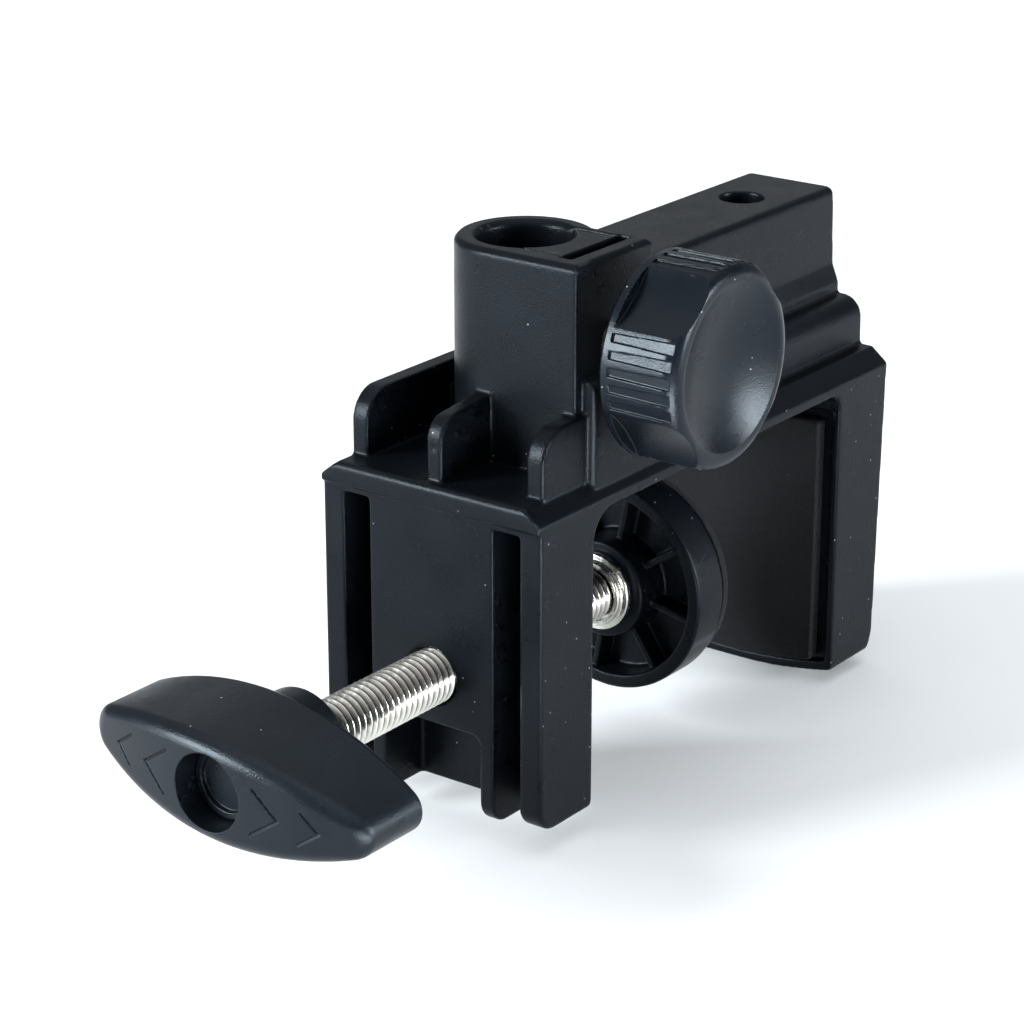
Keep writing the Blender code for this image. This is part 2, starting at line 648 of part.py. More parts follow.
def lens_outline(half_length, half_width, tip, wide_steps=20, tip_steps=4):
    """Points (along, across) round a lens of two wide arcs and two tip arcs, upper half first."""
    reach = half_length - tip
    wide = (reach ** 2 / (half_width - tip) + half_width + tip) / 2
    join = math.atan2(reach, wide - half_width)
    upper = []
    for step in range(tip_steps):
        turn = (math.pi / 2 - join) * step / tip_steps
        upper.append((reach + tip * math.cos(turn), tip * math.sin(turn)))
    for step in range(wide_steps + 1):
        turn = join - 2 * join * step / wide_steps
        upper.append((wide * math.sin(turn), wide * math.cos(turn) - wide + half_width))
    for along, across in reversed(upper[:tip_steps]):
        upper.append((-along, across))
    return upper + [(along, -across) for along, across in reversed(upper[1:-1])]


def handle_layers():
    """(inset, depth, half width) of each ring from the face's edge to the rear face's edge."""
    layers = []
    for step in range(4):
        turn = math.pi / 2 * step / 3
        layers.append((HANDLE_FILLET * (1 - math.sin(turn)), HANDLE_FILLET * (1 - math.cos(turn)),
                       HANDLE_FRONT_HALF))
    depth = HANDLE_REAR_Y - HANDLE_FRONT_Y
    for step in range(3):
        turn = math.pi / 2 * step / 2
        layers.append((HANDLE_REAR_FILLET * (1 - math.cos(turn)),
                       depth - HANDLE_REAR_FILLET * (1 - math.sin(turn)), HANDLE_REAR_HALF))
    return layers


def handle_blank(parts):
    """The handle's grip: its face bows along its length and its sides flare to the rear."""
    work = bmesh.new()
    tilt = Matrix.Rotation(-HANDLE_TILT, 4, "Y")
    half = HANDLE_LENGTH / 2
    whole = HANDLE_REAR_Y - HANDLE_FRONT_Y
    rings = []
    for inset, depth, width in handle_layers():
        ring = []
        for along, across in lens_outline(half - inset, width - inset, HANDLE_TIP_R - inset / 2):
            bow = HANDLE_BOW * (along / half) ** 2 * (1 - depth / whole)
            ring.append(work.verts.new(tilt @ Vector((along, HANDLE_FRONT_Y + depth + bow, across))))
        rings.append(ring)
    size = len(rings[0])
    for ring, following in zip(rings, rings[1:]):
        for index in range(size):
            after = (index + 1) % size
            work.faces.new((ring[index], ring[after], following[after], following[index]))
    for ring in (rings[0], rings[-1]):
        for index in range(size // 2):
            corners = [ring[index], ring[index + 1], ring[(size - index - 1) % size],
                       ring[(size - index) % size]]
            work.faces.new(dict.fromkeys(corners))
    return from_bmesh("clamp_handle", work, parts)


def make_clamp_handle(parts, tools, material):
    handle = handle_blank(parts)
    centre = (0, 0, 0)
    boss = rod("add_handle_boss", "Y", centre, HANDLE_REAR_Y - 0.003, HANDLE_BOSS_REAR_Y,
               HANDLE_BOSS_R, tools, sides=40, end_radius=HANDLE_BOSS_R - 0.0004)
    combine(handle, boss, "UNION")
    dimple = rod("cut_dimple", "Y", centre, HANDLE_FRONT_Y - 0.01, CAP_FACE_Y, DIMPLE_R, tools,
                 sides=40)
    socket = hexagon("cut_drive_socket", "Y", centre, DIMPLE_FLOOR_Y, DRIVE_REAR_Y + GAP,
                     DRIVE_FLATS + 2 * GAP, tools)
    bore = rod("cut_handle_bore", "Y", centre, DRIVE_REAR_Y - 0.001, HANDLE_BOSS_REAR_Y + 0.01,
               SCREW_R + GAP, tools)
    for cutter in (dimple, socket, bore):
        combine(handle, cutter, "DIFFERENCE")
    return finish(handle, material)


def make_handle_cap(parts, material):
    cap = rod("handle_cap", "Y", (0, 0, 0), DIMPLE_FLOOR_Y + 0.0001, CAP_FACE_Y - GAP,
              DIMPLE_R - GAP, parts, sides=40)
    return finish(cap, material)


# ---------------------------------------------------------------- lock knob, stud and shoe

def make_lock_shoe(parts, tools, material):
    shoe = box("lock_shoe", (0.002, SOCKET_Y - SHOE_HALF, SHOE_FOOT_Z),
               (SHOE_BACK_X, SOCKET_Y + SHOE_HALF, SOCKET_TOP_Z - 0.0002), parts)
    bore = rod("cut_shoe_face", "Z", (0, SOCKET_Y, 0), 0.0, 0.1, BORE_R, tools, sides=48)
    combine(shoe, bore, "DIFFERENCE")
    set_origin(shoe, (SHOE_BACK_X, SOCKET_Y, LOCK_Z))
    return finish(shoe, material)


def make_lock_stud(parts, tools, material):
    low = SHOE_BACK_X + GAP
    centre = (0, SOCKET_Y, LOCK_Z)
    stud = rod("lock_stud", "X", centre, low, STUD_HEAD_X[0] + 0.001, STUD_R, parts)
    head = hexagon("add_stud_head", "X", centre, *STUD_HEAD_X, STUD_HEAD_FLATS, tools)
    combine(stud, head, "UNION")
    set_origin(stud, centre)
    return finish(stud, material)


def knob_profile():
    """Half section of the knob: hub, flange, side, rounded rim and dished face."""
    profile = [(0.0, KNOB_HUB_X), (KNOB_HUB_R, KNOB_HUB_X), (KNOB_HUB_R, KNOB_BACK_X),
               (KNOB_R - 0.0010, KNOB_BACK_X), (KNOB_R - 0.0003, KNOB_BACK_X + 0.0006),
               (KNOB_R, KNOB_FACE_X - KNOB_RIM)]
    for step in range(1, 4):
        turn = math.pi / 2 * step / 3
        profile.append((KNOB_R - KNOB_RIM * (1 - math.cos(turn)),
                        KNOB_FACE_X - KNOB_RIM * (1 - math.sin(turn))))
    dish_r = KNOB_R - KNOB_RIM - 0.0012
    for step in range(5):
        radius = dish_r * (1 - step / 5)
        profile.append((radius, KNOB_FACE_X - KNOB_DISH * (1 - (radius / dish_r) ** 2)))
    profile.append((0.0, KNOB_FACE_X - KNOB_DISH))
    return profile


def grip_cuts(centre, tools):
    """The knob's scallops, and the grooves between them."""
    low = KNOB_BACK_X + KNOB_FLANGE
    sector = 2 * math.pi / KNOB_GROUPS
    reach = KNOB_R + SCALLOP_R - SCALLOP_DEPTH
    half = GROOVE_WIDTH / 2
    for group in range(KNOB_GROUPS):
        turn = KNOB_TURN + sector * (group + 0.5)
        spot = centre + Vector((0, math.cos(turn) * reach, math.sin(turn) * reach))
        yield rod(f"cut_scallop_{group}", "X", spot, low, KNOB_FACE_X + 0.01, SCALLOP_R, tools,
                  sides=40)
        for groove in range(KNOB_GROOVES):
            angle = KNOB_TURN + sector * group + (groove - (KNOB_GROOVES - 1) / 2) * GROOVE_STEP
            slot = box(f"cut_groove_{group}_{groove}", (low, KNOB_R - GROOVE_DEPTH, -half),
                       (KNOB_FACE_X, KNOB_R + 0.003, half), tools)
            for vertex in slot.data.vertices:
                if vertex.co.x > low + 0.001:
                    vertex.co.z *= GROOVE_FLARE
            slot.data.transform(Matrix.Translation(centre) @ Matrix.Rotation(angle, 4, "X"))
            yield slot


def make_lock_knob(parts, tools, material):
    centre = Vector((0, SOCKET_Y, LOCK_Z))
    knob = turned("lock_knob", "X", centre, knob_profile(), parts)
    for cutter in grip_cuts(centre, tools):
        combine(knob, cutter, "DIFFERENCE")
    socket = hexagon("cut_stud_socket", "X", centre, KNOB_HUB_X - 0.01, STUD_HEAD_X[1] + GAP,
                     STUD_HEAD_FLATS + 2 * GAP, tools)
    combine(knob, socket, "DIFFERENCE")
    set_origin(knob, centre)
    return finish(knob, material)


# ---------------------------------------------------------------- assembly

def main():
    clear_scene()
    parts = new_collection("umbrella_swivel_bracket")
    tools = new_collection("cutters")
    body_black = plastic("body_plastic", (0.020, 0.022, 0.027), 0.45)
    knob_black = plastic("knob_plastic", (0.018, 0.020, 0.025), 0.35)
    handle_black = plastic("handle_plastic", (0.020, 0.022, 0.026), 0.40)
    pad_black = plastic("pad_foam", (0.014, 0.014, 0.015), 0.90)
    nickel = plastic("nickel_steel", (0.72, 0.69, 0.63), 0.25, metallic=1.0)
    zinc = plastic("zinc_steel", (0.60, 0.60, 0.60), 0.40, metallic=1.0)

    make_clamp_body(parts, tools, body_black)
    make_bridge_beam(parts, tools, body_black)
    make_pole_socket(parts, tools, body_black)
    make_jaw_pad(parts, pad_black)
    make_clamp_nut(parts, tools, zinc)
    make_plate_nut(parts, tools, zinc)
    make_pressure_pad(parts, tools, body_black)
    make_pad_facing(parts, pad_black)
    make_pad_washer(parts, nickel)
    make_clamp_screw(parts, tools, nickel)
    make_screw_clip(parts, tools, zinc)
    make_clamp_handle(parts, tools, handle_black)
    make_handle_cap(parts, handle_black)
    make_lock_shoe(parts, tools, body_black)
    make_lock_stud(parts, tools, nickel)
    make_lock_knob(parts, tools, knob_black)


main()
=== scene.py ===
import math

import bmesh
import bpy
from mathutils import Matrix, Vector


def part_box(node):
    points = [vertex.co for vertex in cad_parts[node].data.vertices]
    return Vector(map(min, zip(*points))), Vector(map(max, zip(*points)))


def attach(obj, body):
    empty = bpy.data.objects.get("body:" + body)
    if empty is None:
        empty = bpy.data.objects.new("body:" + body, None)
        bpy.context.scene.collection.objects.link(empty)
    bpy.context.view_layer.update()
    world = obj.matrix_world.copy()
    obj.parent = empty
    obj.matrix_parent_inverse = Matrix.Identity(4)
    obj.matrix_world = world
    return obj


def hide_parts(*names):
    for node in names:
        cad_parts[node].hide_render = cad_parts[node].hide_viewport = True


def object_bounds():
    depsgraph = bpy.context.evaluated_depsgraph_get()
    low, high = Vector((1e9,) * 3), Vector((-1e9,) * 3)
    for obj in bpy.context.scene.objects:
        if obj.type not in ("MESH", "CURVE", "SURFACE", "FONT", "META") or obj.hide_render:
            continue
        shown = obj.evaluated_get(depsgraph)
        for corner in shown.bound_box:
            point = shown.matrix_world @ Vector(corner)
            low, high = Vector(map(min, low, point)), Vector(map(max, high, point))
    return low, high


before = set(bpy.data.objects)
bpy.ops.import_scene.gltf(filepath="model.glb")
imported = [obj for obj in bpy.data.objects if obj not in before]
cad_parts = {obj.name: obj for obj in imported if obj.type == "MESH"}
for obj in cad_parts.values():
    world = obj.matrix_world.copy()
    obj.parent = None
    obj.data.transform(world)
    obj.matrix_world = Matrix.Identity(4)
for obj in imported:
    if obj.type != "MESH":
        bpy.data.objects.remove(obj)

CAD_LOW, CAD_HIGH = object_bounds()

# ---------------------------------------------------------------- sizes, in metres
GAP = 0.0003
frame_low, frame_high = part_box("clamp_body")
beam_low, beam_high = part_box("bridge_beam")
socket_low, socket_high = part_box("pole_socket")
pad_low, pad_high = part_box("jaw_pad")
disc_low, disc_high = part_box("pressure_pad")
facing_low, facing_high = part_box("pad_facing")
washer_low, washer_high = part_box("pad_washer")
screw_low, screw_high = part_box("clamp_screw")
grip_low, grip_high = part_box("clamp_handle")
shoe_low, shoe_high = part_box("lock_shoe")
stud_low, stud_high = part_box("lock_stud")
knob_low, knob_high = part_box("lock_knob")
nut_low, nut_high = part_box("clamp_nut")
cap_low, cap_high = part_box("handle_cap")

# Frame
HALF = frame_high.x
BAND_DEPTH = 0.0004
BAND_PROUD = 0.0007
LEG_FRONT_Y = frame_low.y + BAND_DEPTH
LEG_REAR_Y = nut_high.y + GAP
JAW_RIM_Y = pad_low.y + 0.0021
JAW_REAR_Y = frame_high.y
JAW_LEAN = 0.0018
JAW_FOOT_Z = frame_low.z
JAW_ARC = 0.108
LEG_FOOT_Z = JAW_FOOT_Z + 0.0048
LEG_MID_FOOT_Z = JAW_FOOT_Z + 0.0036
PLATE_TOP_Z = beam_low.z - GAP
PLATE_UNDER_Z = PLATE_TOP_Z - 0.0047
BEVEL_X = HALF - 0.00345
BEVEL_Z = PLATE_TOP_Z - 0.0028
BAND_FOOT_Z = BEVEL_Z - 0.0012
SLOT_INNER_X, SLOT_OUTER_X, SLOT_DEPTH = 0.0133, 0.0189, 0.0115
SLOT_TOP_Z = PLATE_UNDER_Z - 0.0007
POCKET_HALF, POCKET_DEPTH, POCKET_TOP_Z = 0.0104, 0.0105, -0.0088
RECESS_HALF, RECESS_TOP_Z = 0.0219, 0.0267
HOLLOW_STEP, HOLLOW_HALF, HOLLOW_FLOOR_Y = 0.0148, 0.006, 0.0078
HOLLOW_FOOT_Z, HOLLOW_TOP_Z = -0.0215, 0.0255

# Beam, socket and ribs
BEAM_HALF, BEAM_TOP_Z, BEAM_REAR_Y = 0.0099, beam_high.z, beam_high.y
BEAM_FLARE = ((0.0104, 0.0500), (0.0118, 0.0464))
STEP_HALF, STEP_TOP_Z = beam_high.x, 0.0444
CORE_HALF, CORE_FRONT_Y, CORE_REAR_Y, CORE_TOP_Z = 0.0065, -0.0470, -0.0050, 0.0610
TUBE_R = -socket_low.x
SOCKET_Y = socket_low.y + TUBE_R
SOCKET_TOP_Z = socket_high.z
SOCKET_FLOOR_Z = PLATE_TOP_Z - 0.0019
SOCKET_CHAMFER = 0.0009
BORE_R = 0.00857
BOSS_X, BOSS_REAR_Y = 0.01935, SOCKET_Y + 0.0102
LOW_BOSS_X = socket_high.x
LOW_BOSS_FRONT_Y, LOW_BOSS_REAR_Y = SOCKET_Y - 0.0106, SOCKET_Y + 0.0157
LOW_BOSS_TOP_Z = 0.0529
RIB_TOP_Z, RIB_INNER_X, RIB_OUTER_X, RIB_FRONT_Y = 0.0469, 0.0170, 0.0205, LEG_FRONT_Y + 0.0045
HOLE_R, HOLE_Y, HOLE_FLOOR_Z = 0.00422, 0.0027, 0.0400

# Screw, pad disc and handle
SCREW_R = 0.0050
PITCH = 0.0015
HUB_BORE_R = 0.0038
SPOKES = 8
HANDLE_FRONT_Y, HANDLE_BOSS_REAR_Y = grip_low.y, grip_high.y
HANDLE_REAR_Y = HANDLE_BOSS_REAR_Y - 0.0044
HANDLE_HALF = 0.0290
HANDLE_FRONT_HALF, HANDLE_REAR_HALF = 0.0090, 0.0106
HANDLE_BOW = 0.0050
HANDLE_TILT = math.radians(-6.0)
DIMPLE_R = 0.0067

# Lock
LOCK = Vector((0, (knob_low.y + knob_high.y) / 2, (knob_low.z + knob_high.z) / 2))
KNOB_R = (knob_high.z - knob_low.z) / 2
KNOB_FACE_X = knob_high.x
KNOB_BACK_X = knob_low.x + 0.0018
KNOB_TURN, KNOB_GROOVES, GROOVE_STEP, GROOVE_DEPTH = math.radians(-4.1), 5, math.radians(9.4), 0.00045
SCALLOP_R, SCALLOP_DEPTH, DISH_DEPTH = 0.0250, 0.0020, 0.0034

FINE = 96                          # sides of a large round

parts = bpy.data.collections.new("looks")
bpy.context.scene.collection.children.link(parts)


# ---------------------------------------------------------------- shape helpers

def make(name, work):
    bmesh.ops.remove_doubles(work, verts=work.verts, dist=1e-7)
    bmesh.ops.recalc_face_normals(work, faces=work.faces)
    mesh = bpy.data.meshes.new(name)
    work.to_mesh(mesh)
    work.free()
    item = bpy.data.objects.new(name, mesh)
    parts.objects.link(item)
    return item


def signed_angle(start, end):
    return math.atan2(start.x * end.y - start.y * end.x, start.dot(end))


def rounded(corners, steps=8):
    """Turn corner points (u, v, radius) into an outline whose corners are arcs."""
    points = []
    for index, (u, v, radius) in enumerate(corners):
        here = Vector((u, v))
        if radius <= 0:
            points.append(here)
            continue
        before = Vector(corners[index - 1][:2])
        after = Vector(corners[(index + 1) % len(corners)][:2])
        arm_in, arm_out = (before - here).normalized(), (after - here).normalized()
        half_angle = arm_in.angle(arm_out) / 2
        reach = radius / math.tan(half_angle)
        centre = here + (arm_in + arm_out).normalized() * (radius / math.sin(half_angle))
        start = here + arm_in * reach - centre
        sweep = signed_angle(start, here + arm_out * reach - centre)
        for step in range(steps + 1):
            points.append(centre + Matrix.Rotation(sweep * step / steps, 2) @ start)
    return [(point.x, point.y) for point in points]


PUT = {"YZ": lambda u, v, w: (w, u, v), "XZ": lambda u, v, w: (u, w, v), "XY": lambda u, v, w: (u, v, w)}


def loft(name, rings):
    """A closed solid through rings of points, with a flat cap at each end."""
    work = bmesh.new()
    rows = [[work.verts.new(point) for point in ring] for ring in rings]
    size = len(rows[0])
    for row, after in zip(rows, rows[1:]):
        for i in range(size):
            j = (i + 1) % size
            work.faces.new((row[i], row[j], after[j], after[i]))
    work.faces.new(rows[0])
    work.faces.new(rows[-1])
    return make(name, work)


def prism(name, points, plane, low, high):
    put = PUT[plane]
    return loft(name, [[put(u, v, w) for u, v in points] for w in (low, high)])


def block(name, low, high):
    corners = [(low[0], low[1]), (high[0], low[1]), (high[0], high[1]), (low[0], high[1])]
    return prism(name, corners, "XY", low[2], high[2])


def on_axis(axis, centre, radius, angle, along):
    c, s = radius * math.cos(angle), radius * math.sin(angle)
    x, y, z = centre
    return {"X": (along, y + c, z + s), "Y": (x + c, along, z + s), "Z": (x + c, y + s, along)}[axis]


def lathe(name, axis, centre, profile, sides=FINE, ring=False):
    """A solid of revolution of (radius, along) points; ring joins the last point to the first."""
    work = bmesh.new()
    rows = [[work.verts.new(on_axis(axis, centre, radius, 2 * math.pi * i / sides, along))
             for i in range(sides)] for radius, along in profile]
    pairs = list(zip(rows, rows[1:])) + ([(rows[-1], rows[0])] if ring else [])
    for row, after in pairs:
        for i in range(sides):
            j = (i + 1) % sides
            work.faces.new((row[i], row[j], after[j], after[i]))
    if not ring:
        work.faces.new(rows[0])
        work.faces.new(rows[-1])
    return make(name, work)


def hexagon(name, axis, centre, low, high, flats):
    spin = 0.0 if axis == "X" else math.pi / 6
    radius = flats / math.sqrt(3)
    return loft(name, [[on_axis(axis, centre, radius, spin + math.pi / 3 * i, w) for i in range(6)]
                       for w in (low, high)])


def cut(item, tool, operation="DIFFERENCE"):
    step = item.modifiers.new(tool.name, "BOOLEAN")
    step.operation = operation
    step.solver = "EXACT"
    step.object = tool
    tool.hide_render = True
    return item


def add(item, tool):
    return cut(item, tool, "UNION")


def bake(item):
    """Replace an object's mesh by its evaluated one, and drop the tools that shaped it."""
    tools = [step.object for step in item.modifiers if step.type == "BOOLEAN"]
    bpy.context.view_layer.update()
    seen = item.evaluated_get(bpy.context.evaluated_depsgraph_get())
    mesh = bpy.data.meshes.new_from_object(seen)
    item.modifiers.clear()
    old = item.data
    item.data = mesh
    bpy.data.meshes.remove(old)
    for tool in tools:
        bpy.data.objects.remove(tool, do_unlink=True)
    return item


def mould(item, voxel, smooth, triangles):
    """Give a solid the soft edges of a moulding: fine voxels, a few smoothing passes, fewer triangles."""
    bake(item)
    remesh = item.modifiers.new("Voxels", "REMESH")
    remesh.mode = "VOXEL"
    remesh.voxel_size = voxel
    relax = item.modifiers.new("Soft edges", "SMOOTH")
    relax.factor = 0.5
    relax.iterations = smooth
    bake(item)
    thin = item.modifiers.new("Fewer", "DECIMATE")
    thin.ratio = min(1.0, triangles / (2 * len(item.data.polygons)))
    bake(item)
    return smoothed(item)


def smoothed(item, angle=None):
    item.data.shade_smooth()
    if angle:
        item.data.set_sharp_from_angle(angle=math.radians(angle))
    return item


def show(item, body, slot, material, *nodes):
    """Finish a piece: its material, the body it rides on and the CAD nodes it stands for; the slot argument
    is not used.
    """
    item.data.materials.clear()
    item.data.materials.append(material)
    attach(item, body)
    if nodes:
        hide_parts(*nodes)
    return item


# ---------------------------------------------------------------- materials

def graph(name, roughness, metallic=0.0):
    """A node material, with its tree, its shader and the object coordinates."""
    material = bpy.data.materials.new(name)
    material.use_nodes = True
    tree = material.node_tree
    shader = tree.nodes["Principled BSDF"]
    shader.inputs["Roughness"].default_value = roughness
    shader.inputs["Metallic"].default_value = metallic
    spot = tree.nodes.new("ShaderNodeTexCoord").outputs["Object"]
    return material, tree, shader, spot


def noise(tree, spot, scale, detail=3.0):
    node = tree.nodes.new("ShaderNodeTexNoise")
    node.inputs["Scale"].default_value = scale
    node.inputs["Detail"].default_value = detail
    tree.links.new(spot, node.inputs["Vector"])
    return node.outputs["Fac"]


def remap(tree, value, low, high, to_low, to_high):
    node = tree.nodes.new("ShaderNodeMapRange")
    for key, number in (("From Min", low), ("From Max", high), ("To Min", to_low), ("To Max", to_high)):
        node.inputs[key].default_value = number
    tree.links.new(value, node.inputs["Value"])
    return node.outputs["Result"]


def blend(tree, factor, first, second):
    node = tree.nodes.new("ShaderNodeMix")
    node.data_type = "RGBA"
    for key, value in (("A", first), ("B", second)):
        socket = [s for s in node.inputs if s.name == key and s.type == "RGBA"][0]
        if isinstance(value, tuple):
            socket.default_value = (*value, 1.0)
        else:
            tree.links.new(value, socket)
    factor_socket = [s for s in node.inputs if s.name == "Factor" and s.type == "VALUE"][0]
    tree.links.new(factor, factor_socket)
    return [s for s in node.outputs if s.type == "RGBA"][0]


def bump(tree, shader, heights):
    """Chain bumps: heights holds (value, strength, distance)."""
    normal = None
    for value, strength, distance in heights:
        node = tree.nodes.new("ShaderNodeBump")
        node.inputs["Strength"].default_value = strength
        node.inputs["Distance"].default_value = distance
        tree.links.new(value, node.inputs["Height"])
        if normal:
            tree.links.new(normal, node.inputs["Normal"])
        normal = node.outputs["Normal"]
    tree.links.new(normal, shader.inputs["Normal"])


def specks(tree, spot, scale, size, share):
    """Sparse dust: 1 inside a few small round spots, 0 elsewhere."""
    cells = tree.nodes.new("ShaderNodeTexVoronoi")
    cells.inputs["Scale"].default_value = scale
    tree.links.new(spot, cells.inputs["Vector"])
    near = remap(tree, cells.outputs["Distance"], size, size * 0.6, 0.0, 1.0)
    split = tree.nodes.new("ShaderNodeSeparateColor")
    tree.links.new(cells.outputs["Color"], split.inputs["Color"])
    chosen = remap(tree, split.outputs["Red"], 1 - share, 1 - share + 0.01, 0.0, 1.0)
    both = tree.nodes.new("ShaderNodeMath")
    both.operation = "MULTIPLY"
    tree.links.new(near, both.inputs[0])
    tree.links.new(chosen, both.inputs[1])
    return both.outputs[0]


def moulded_plastic(name, colour, lighter, roughness, grain, specular, edge_highlight_bend):
    """Black moulded plastic: spark-eroded grain, slow tone drift, a painted highlight on convex edges and a
    little dust.

    The last argument is how far past flat an edge must bend before it gets the painted highlight.
    """
    material, tree, shader, spot = graph(name, roughness)
    shader.inputs["Specular IOR Level"].default_value = specular
    shader.inputs["Specular Tint"].default_value = (0.82, 0.92, 1.0, 1.0)
    drift = remap(tree, noise(tree, spot, 55.0), 0.35, 0.65, 0.0, 1.0)
    tone = blend(tree, drift, colour, lighter)
    edge = tree.nodes.new("ShaderNodeNewGeometry").outputs["Pointiness"]
    # Painted highlight: convex edges are lightened towards grey-blue in place of edge reflections.
    wear_and_edge_highlight = remap(tree, edge, 0.5 + edge_highlight_bend, 0.5 + 2 * edge_highlight_bend, 0.0, 0.8)
    tone = blend(tree, wear_and_edge_highlight, tone, (0.020, 0.024, 0.030))
    dust = specks(tree, spot, 420.0, 0.070, 0.22)
    tone = blend(tree, dust, tone, (0.30, 0.31, 0.33))
    tree.links.new(tone, shader.inputs["Base Color"])
    patchy = remap(tree, noise(tree, spot, 160.0, 4.0), 0.3, 0.7, roughness - 0.05, roughness + 0.06)
    tree.links.new(patchy, shader.inputs["Roughness"])
    fine = noise(tree, spot, 3400.0, 2.0)
    slow = noise(tree, spot, 260.0, 2.0)
    bump(tree, shader, [(fine, grain, 0.00010), (slow, 0.10, 0.00010)])
    return material


def foam(name):
    """Closed-cell foam rubber: open pores darkened inside with painted shade, a dry surface and some lint."""
    material, tree, shader, spot = graph(name, 0.92)
    shader.inputs["Specular IOR Level"].default_value = 0.15
    shader.inputs["Sheen Weight"].default_value = 0.04
    shader.inputs["Sheen Roughness"].default_value = 0.6
    pores = tree.nodes.new("ShaderNodeTexVoronoi")
    pores.inputs["Scale"].default_value = 2600.0
    tree.links.new(spot, pores.inputs["Vector"])
    # Painted shade: pore centres are darkened; the same value also drives the pore bump.
    pore_pit_and_shade = remap(tree, pores.outputs["Distance"], 0.05, 0.45, 0.0, 1.0)
    tone = blend(tree, pore_pit_and_shade, (0.0013, 0.0014, 0.0018), (0.0054, 0.0056, 0.0068))
    drift = remap(tree, noise(tree, spot, 90.0), 0.35, 0.65, 0.0, 0.5)
    tone = blend(tree, drift, tone, (0.0047, 0.0049, 0.0058))
    lint = specks(tree, spot, 500.0, 0.05, 0.05)
    tone = blend(tree, lint, tone, (0.16, 0.16, 0.17))
    tree.links.new(tone, shader.inputs["Base Color"])
    bump(tree, shader, [(pore_pit_and_shade, 0.9, 0.00012), (noise(tree, spot, 700.0), 0.35, 0.00015)])
    return material


def plated(name, colour, shade, roughness, core=None):
    """Plated steel with patchy gloss; core (axis, centre, root, crest) darkens the thread's roots with
    painted shade.
    """
    material, tree, shader, spot = graph(name, roughness, 1.0)
    patch = remap(tree, noise(tree, spot, 300.0, 4.0), 0.35, 0.65, 0.0, 1.0)
    tone = blend(tree, patch, colour, tuple(0.86 * c for c in colour))
    if core:
        axis, centre, root, crest = core
        flat = tree.nodes.new("ShaderNodeVectorMath")
        flat.operation = "MULTIPLY_ADD"
        keep = [0.0 if letter == axis else 1.0 for letter in "XYZ"]
        flat.inputs[1].default_value = keep
        flat.inputs[2].default_value = [-c * k for c, k in zip(centre, keep)]
        tree.links.new(spot, flat.inputs[0])
        length = tree.nodes.new("ShaderNodeVectorMath")
        length.operation = "LENGTH"
        tree.links.new(flat.outputs[0], length.inputs[0])
        # Painted shade: darker towards the thread's root radius.
        deep = remap(tree, length.outputs["Value"], crest, root, 0.0, 1.0)
        tone = blend(tree, deep, tone, shade)
    tree.links.new(tone, shader.inputs["Base Color"])
    wear_and_edge_highlight = remap(tree, noise(tree, spot, 900.0, 5.0), 0.3, 0.7, roughness - 0.06, roughness + 0.10)
    tree.links.new(wear_and_edge_highlight, shader.inputs["Roughness"])
    bump(tree, shader, [(noise(tree, spot, 2500.0, 3.0), 0.08, 0.00004)])
    return material


BODY = moulded_plastic("satin_black", (0.0024, 0.0032, 0.0046), (0.0036, 0.0046, 0.0064),
                       roughness=0.30, grain=0.65, specular=0.100, edge_highlight_bend=0.030)
KNOB = moulded_plastic("gloss_black", (0.0022, 0.0034, 0.0056), (0.0032, 0.0047, 0.0074),
                       roughness=0.24, grain=0.40, specular=0.175, edge_highlight_bend=0.100)
GRIP = moulded_plastic("handle_black", (0.0040, 0.0055, 0.0078), (0.0056, 0.0074, 0.0102),
                       roughness=0.30, grain=0.55, specular=0.20, edge_highlight_bend=0.100)
FOAM = foam("foam_black")
# The second colour is painted shade for the thread roots.
BRIGHT_NICKEL, ROOT_SHADE = (0.80, 0.77, 0.71), (0.07, 0.06, 0.05)
NICKEL = plated("nickel", BRIGHT_NICKEL, ROOT_SHADE, 0.20, ("Y", (0, 0, 0), 0.0042, 0.0048))
STUD = plated("nickel_stud", BRIGHT_NICKEL, ROOT_SHADE, 0.20, ("X", LOCK, 0.0033, 0.0038))
PLAIN_NICKEL = plated("nickel_plain", (0.78, 0.76, 0.70), (0.3, 0.3, 0.3), 0.22)
ZINC = plated("zinc", (0.62, 0.62, 0.61), (0.3, 0.3, 0.3), 0.36)


# ---------------------------------------------------------------- moulded body

def arc_foot(half, radius, steps=32):
    """The jaw's curved foot, from +X to -X."""
    centre = JAW_FOOT_Z + JAW_ARC
    return [(x, centre - math.sqrt(radius * radius - x * x))
            for x in (half - 2 * half * step / steps for step in range(steps + 1))]


def socket_plan(grow, steps=72):
    """Plan of the socket: a round tube with a square-cornered boss on its +X side."""
    radius, side = TUBE_R + grow, BOSS_X + grow
    rear = BOSS_REAR_Y + grow - SOCKET_Y
    last = math.pi - math.asin(rear / radius)
    points = [(side, SOCKET_Y - radius), (side, SOCKET_Y + rear)]
    for step in range(steps + 1):
        turn = math.pi - last + (last + math.pi / 2) * step / steps
        points.append((radius * math.cos(turn), SOCKET_Y + radius * math.sin(turn)))
    return points


def rib(name, front, rear, top_front, top_rear, corner, low, high):
    """A rib from the top plate to the socket, with one rounded corner in front."""
    foot = PLATE_TOP_Z - 0.0013
    outline = [(front, foot, 0), (front, top_front, corner), (rear, top_rear, 0), (rear, foot, 0)]
    return prism(name, rounded(outline), "YZ", low, high)


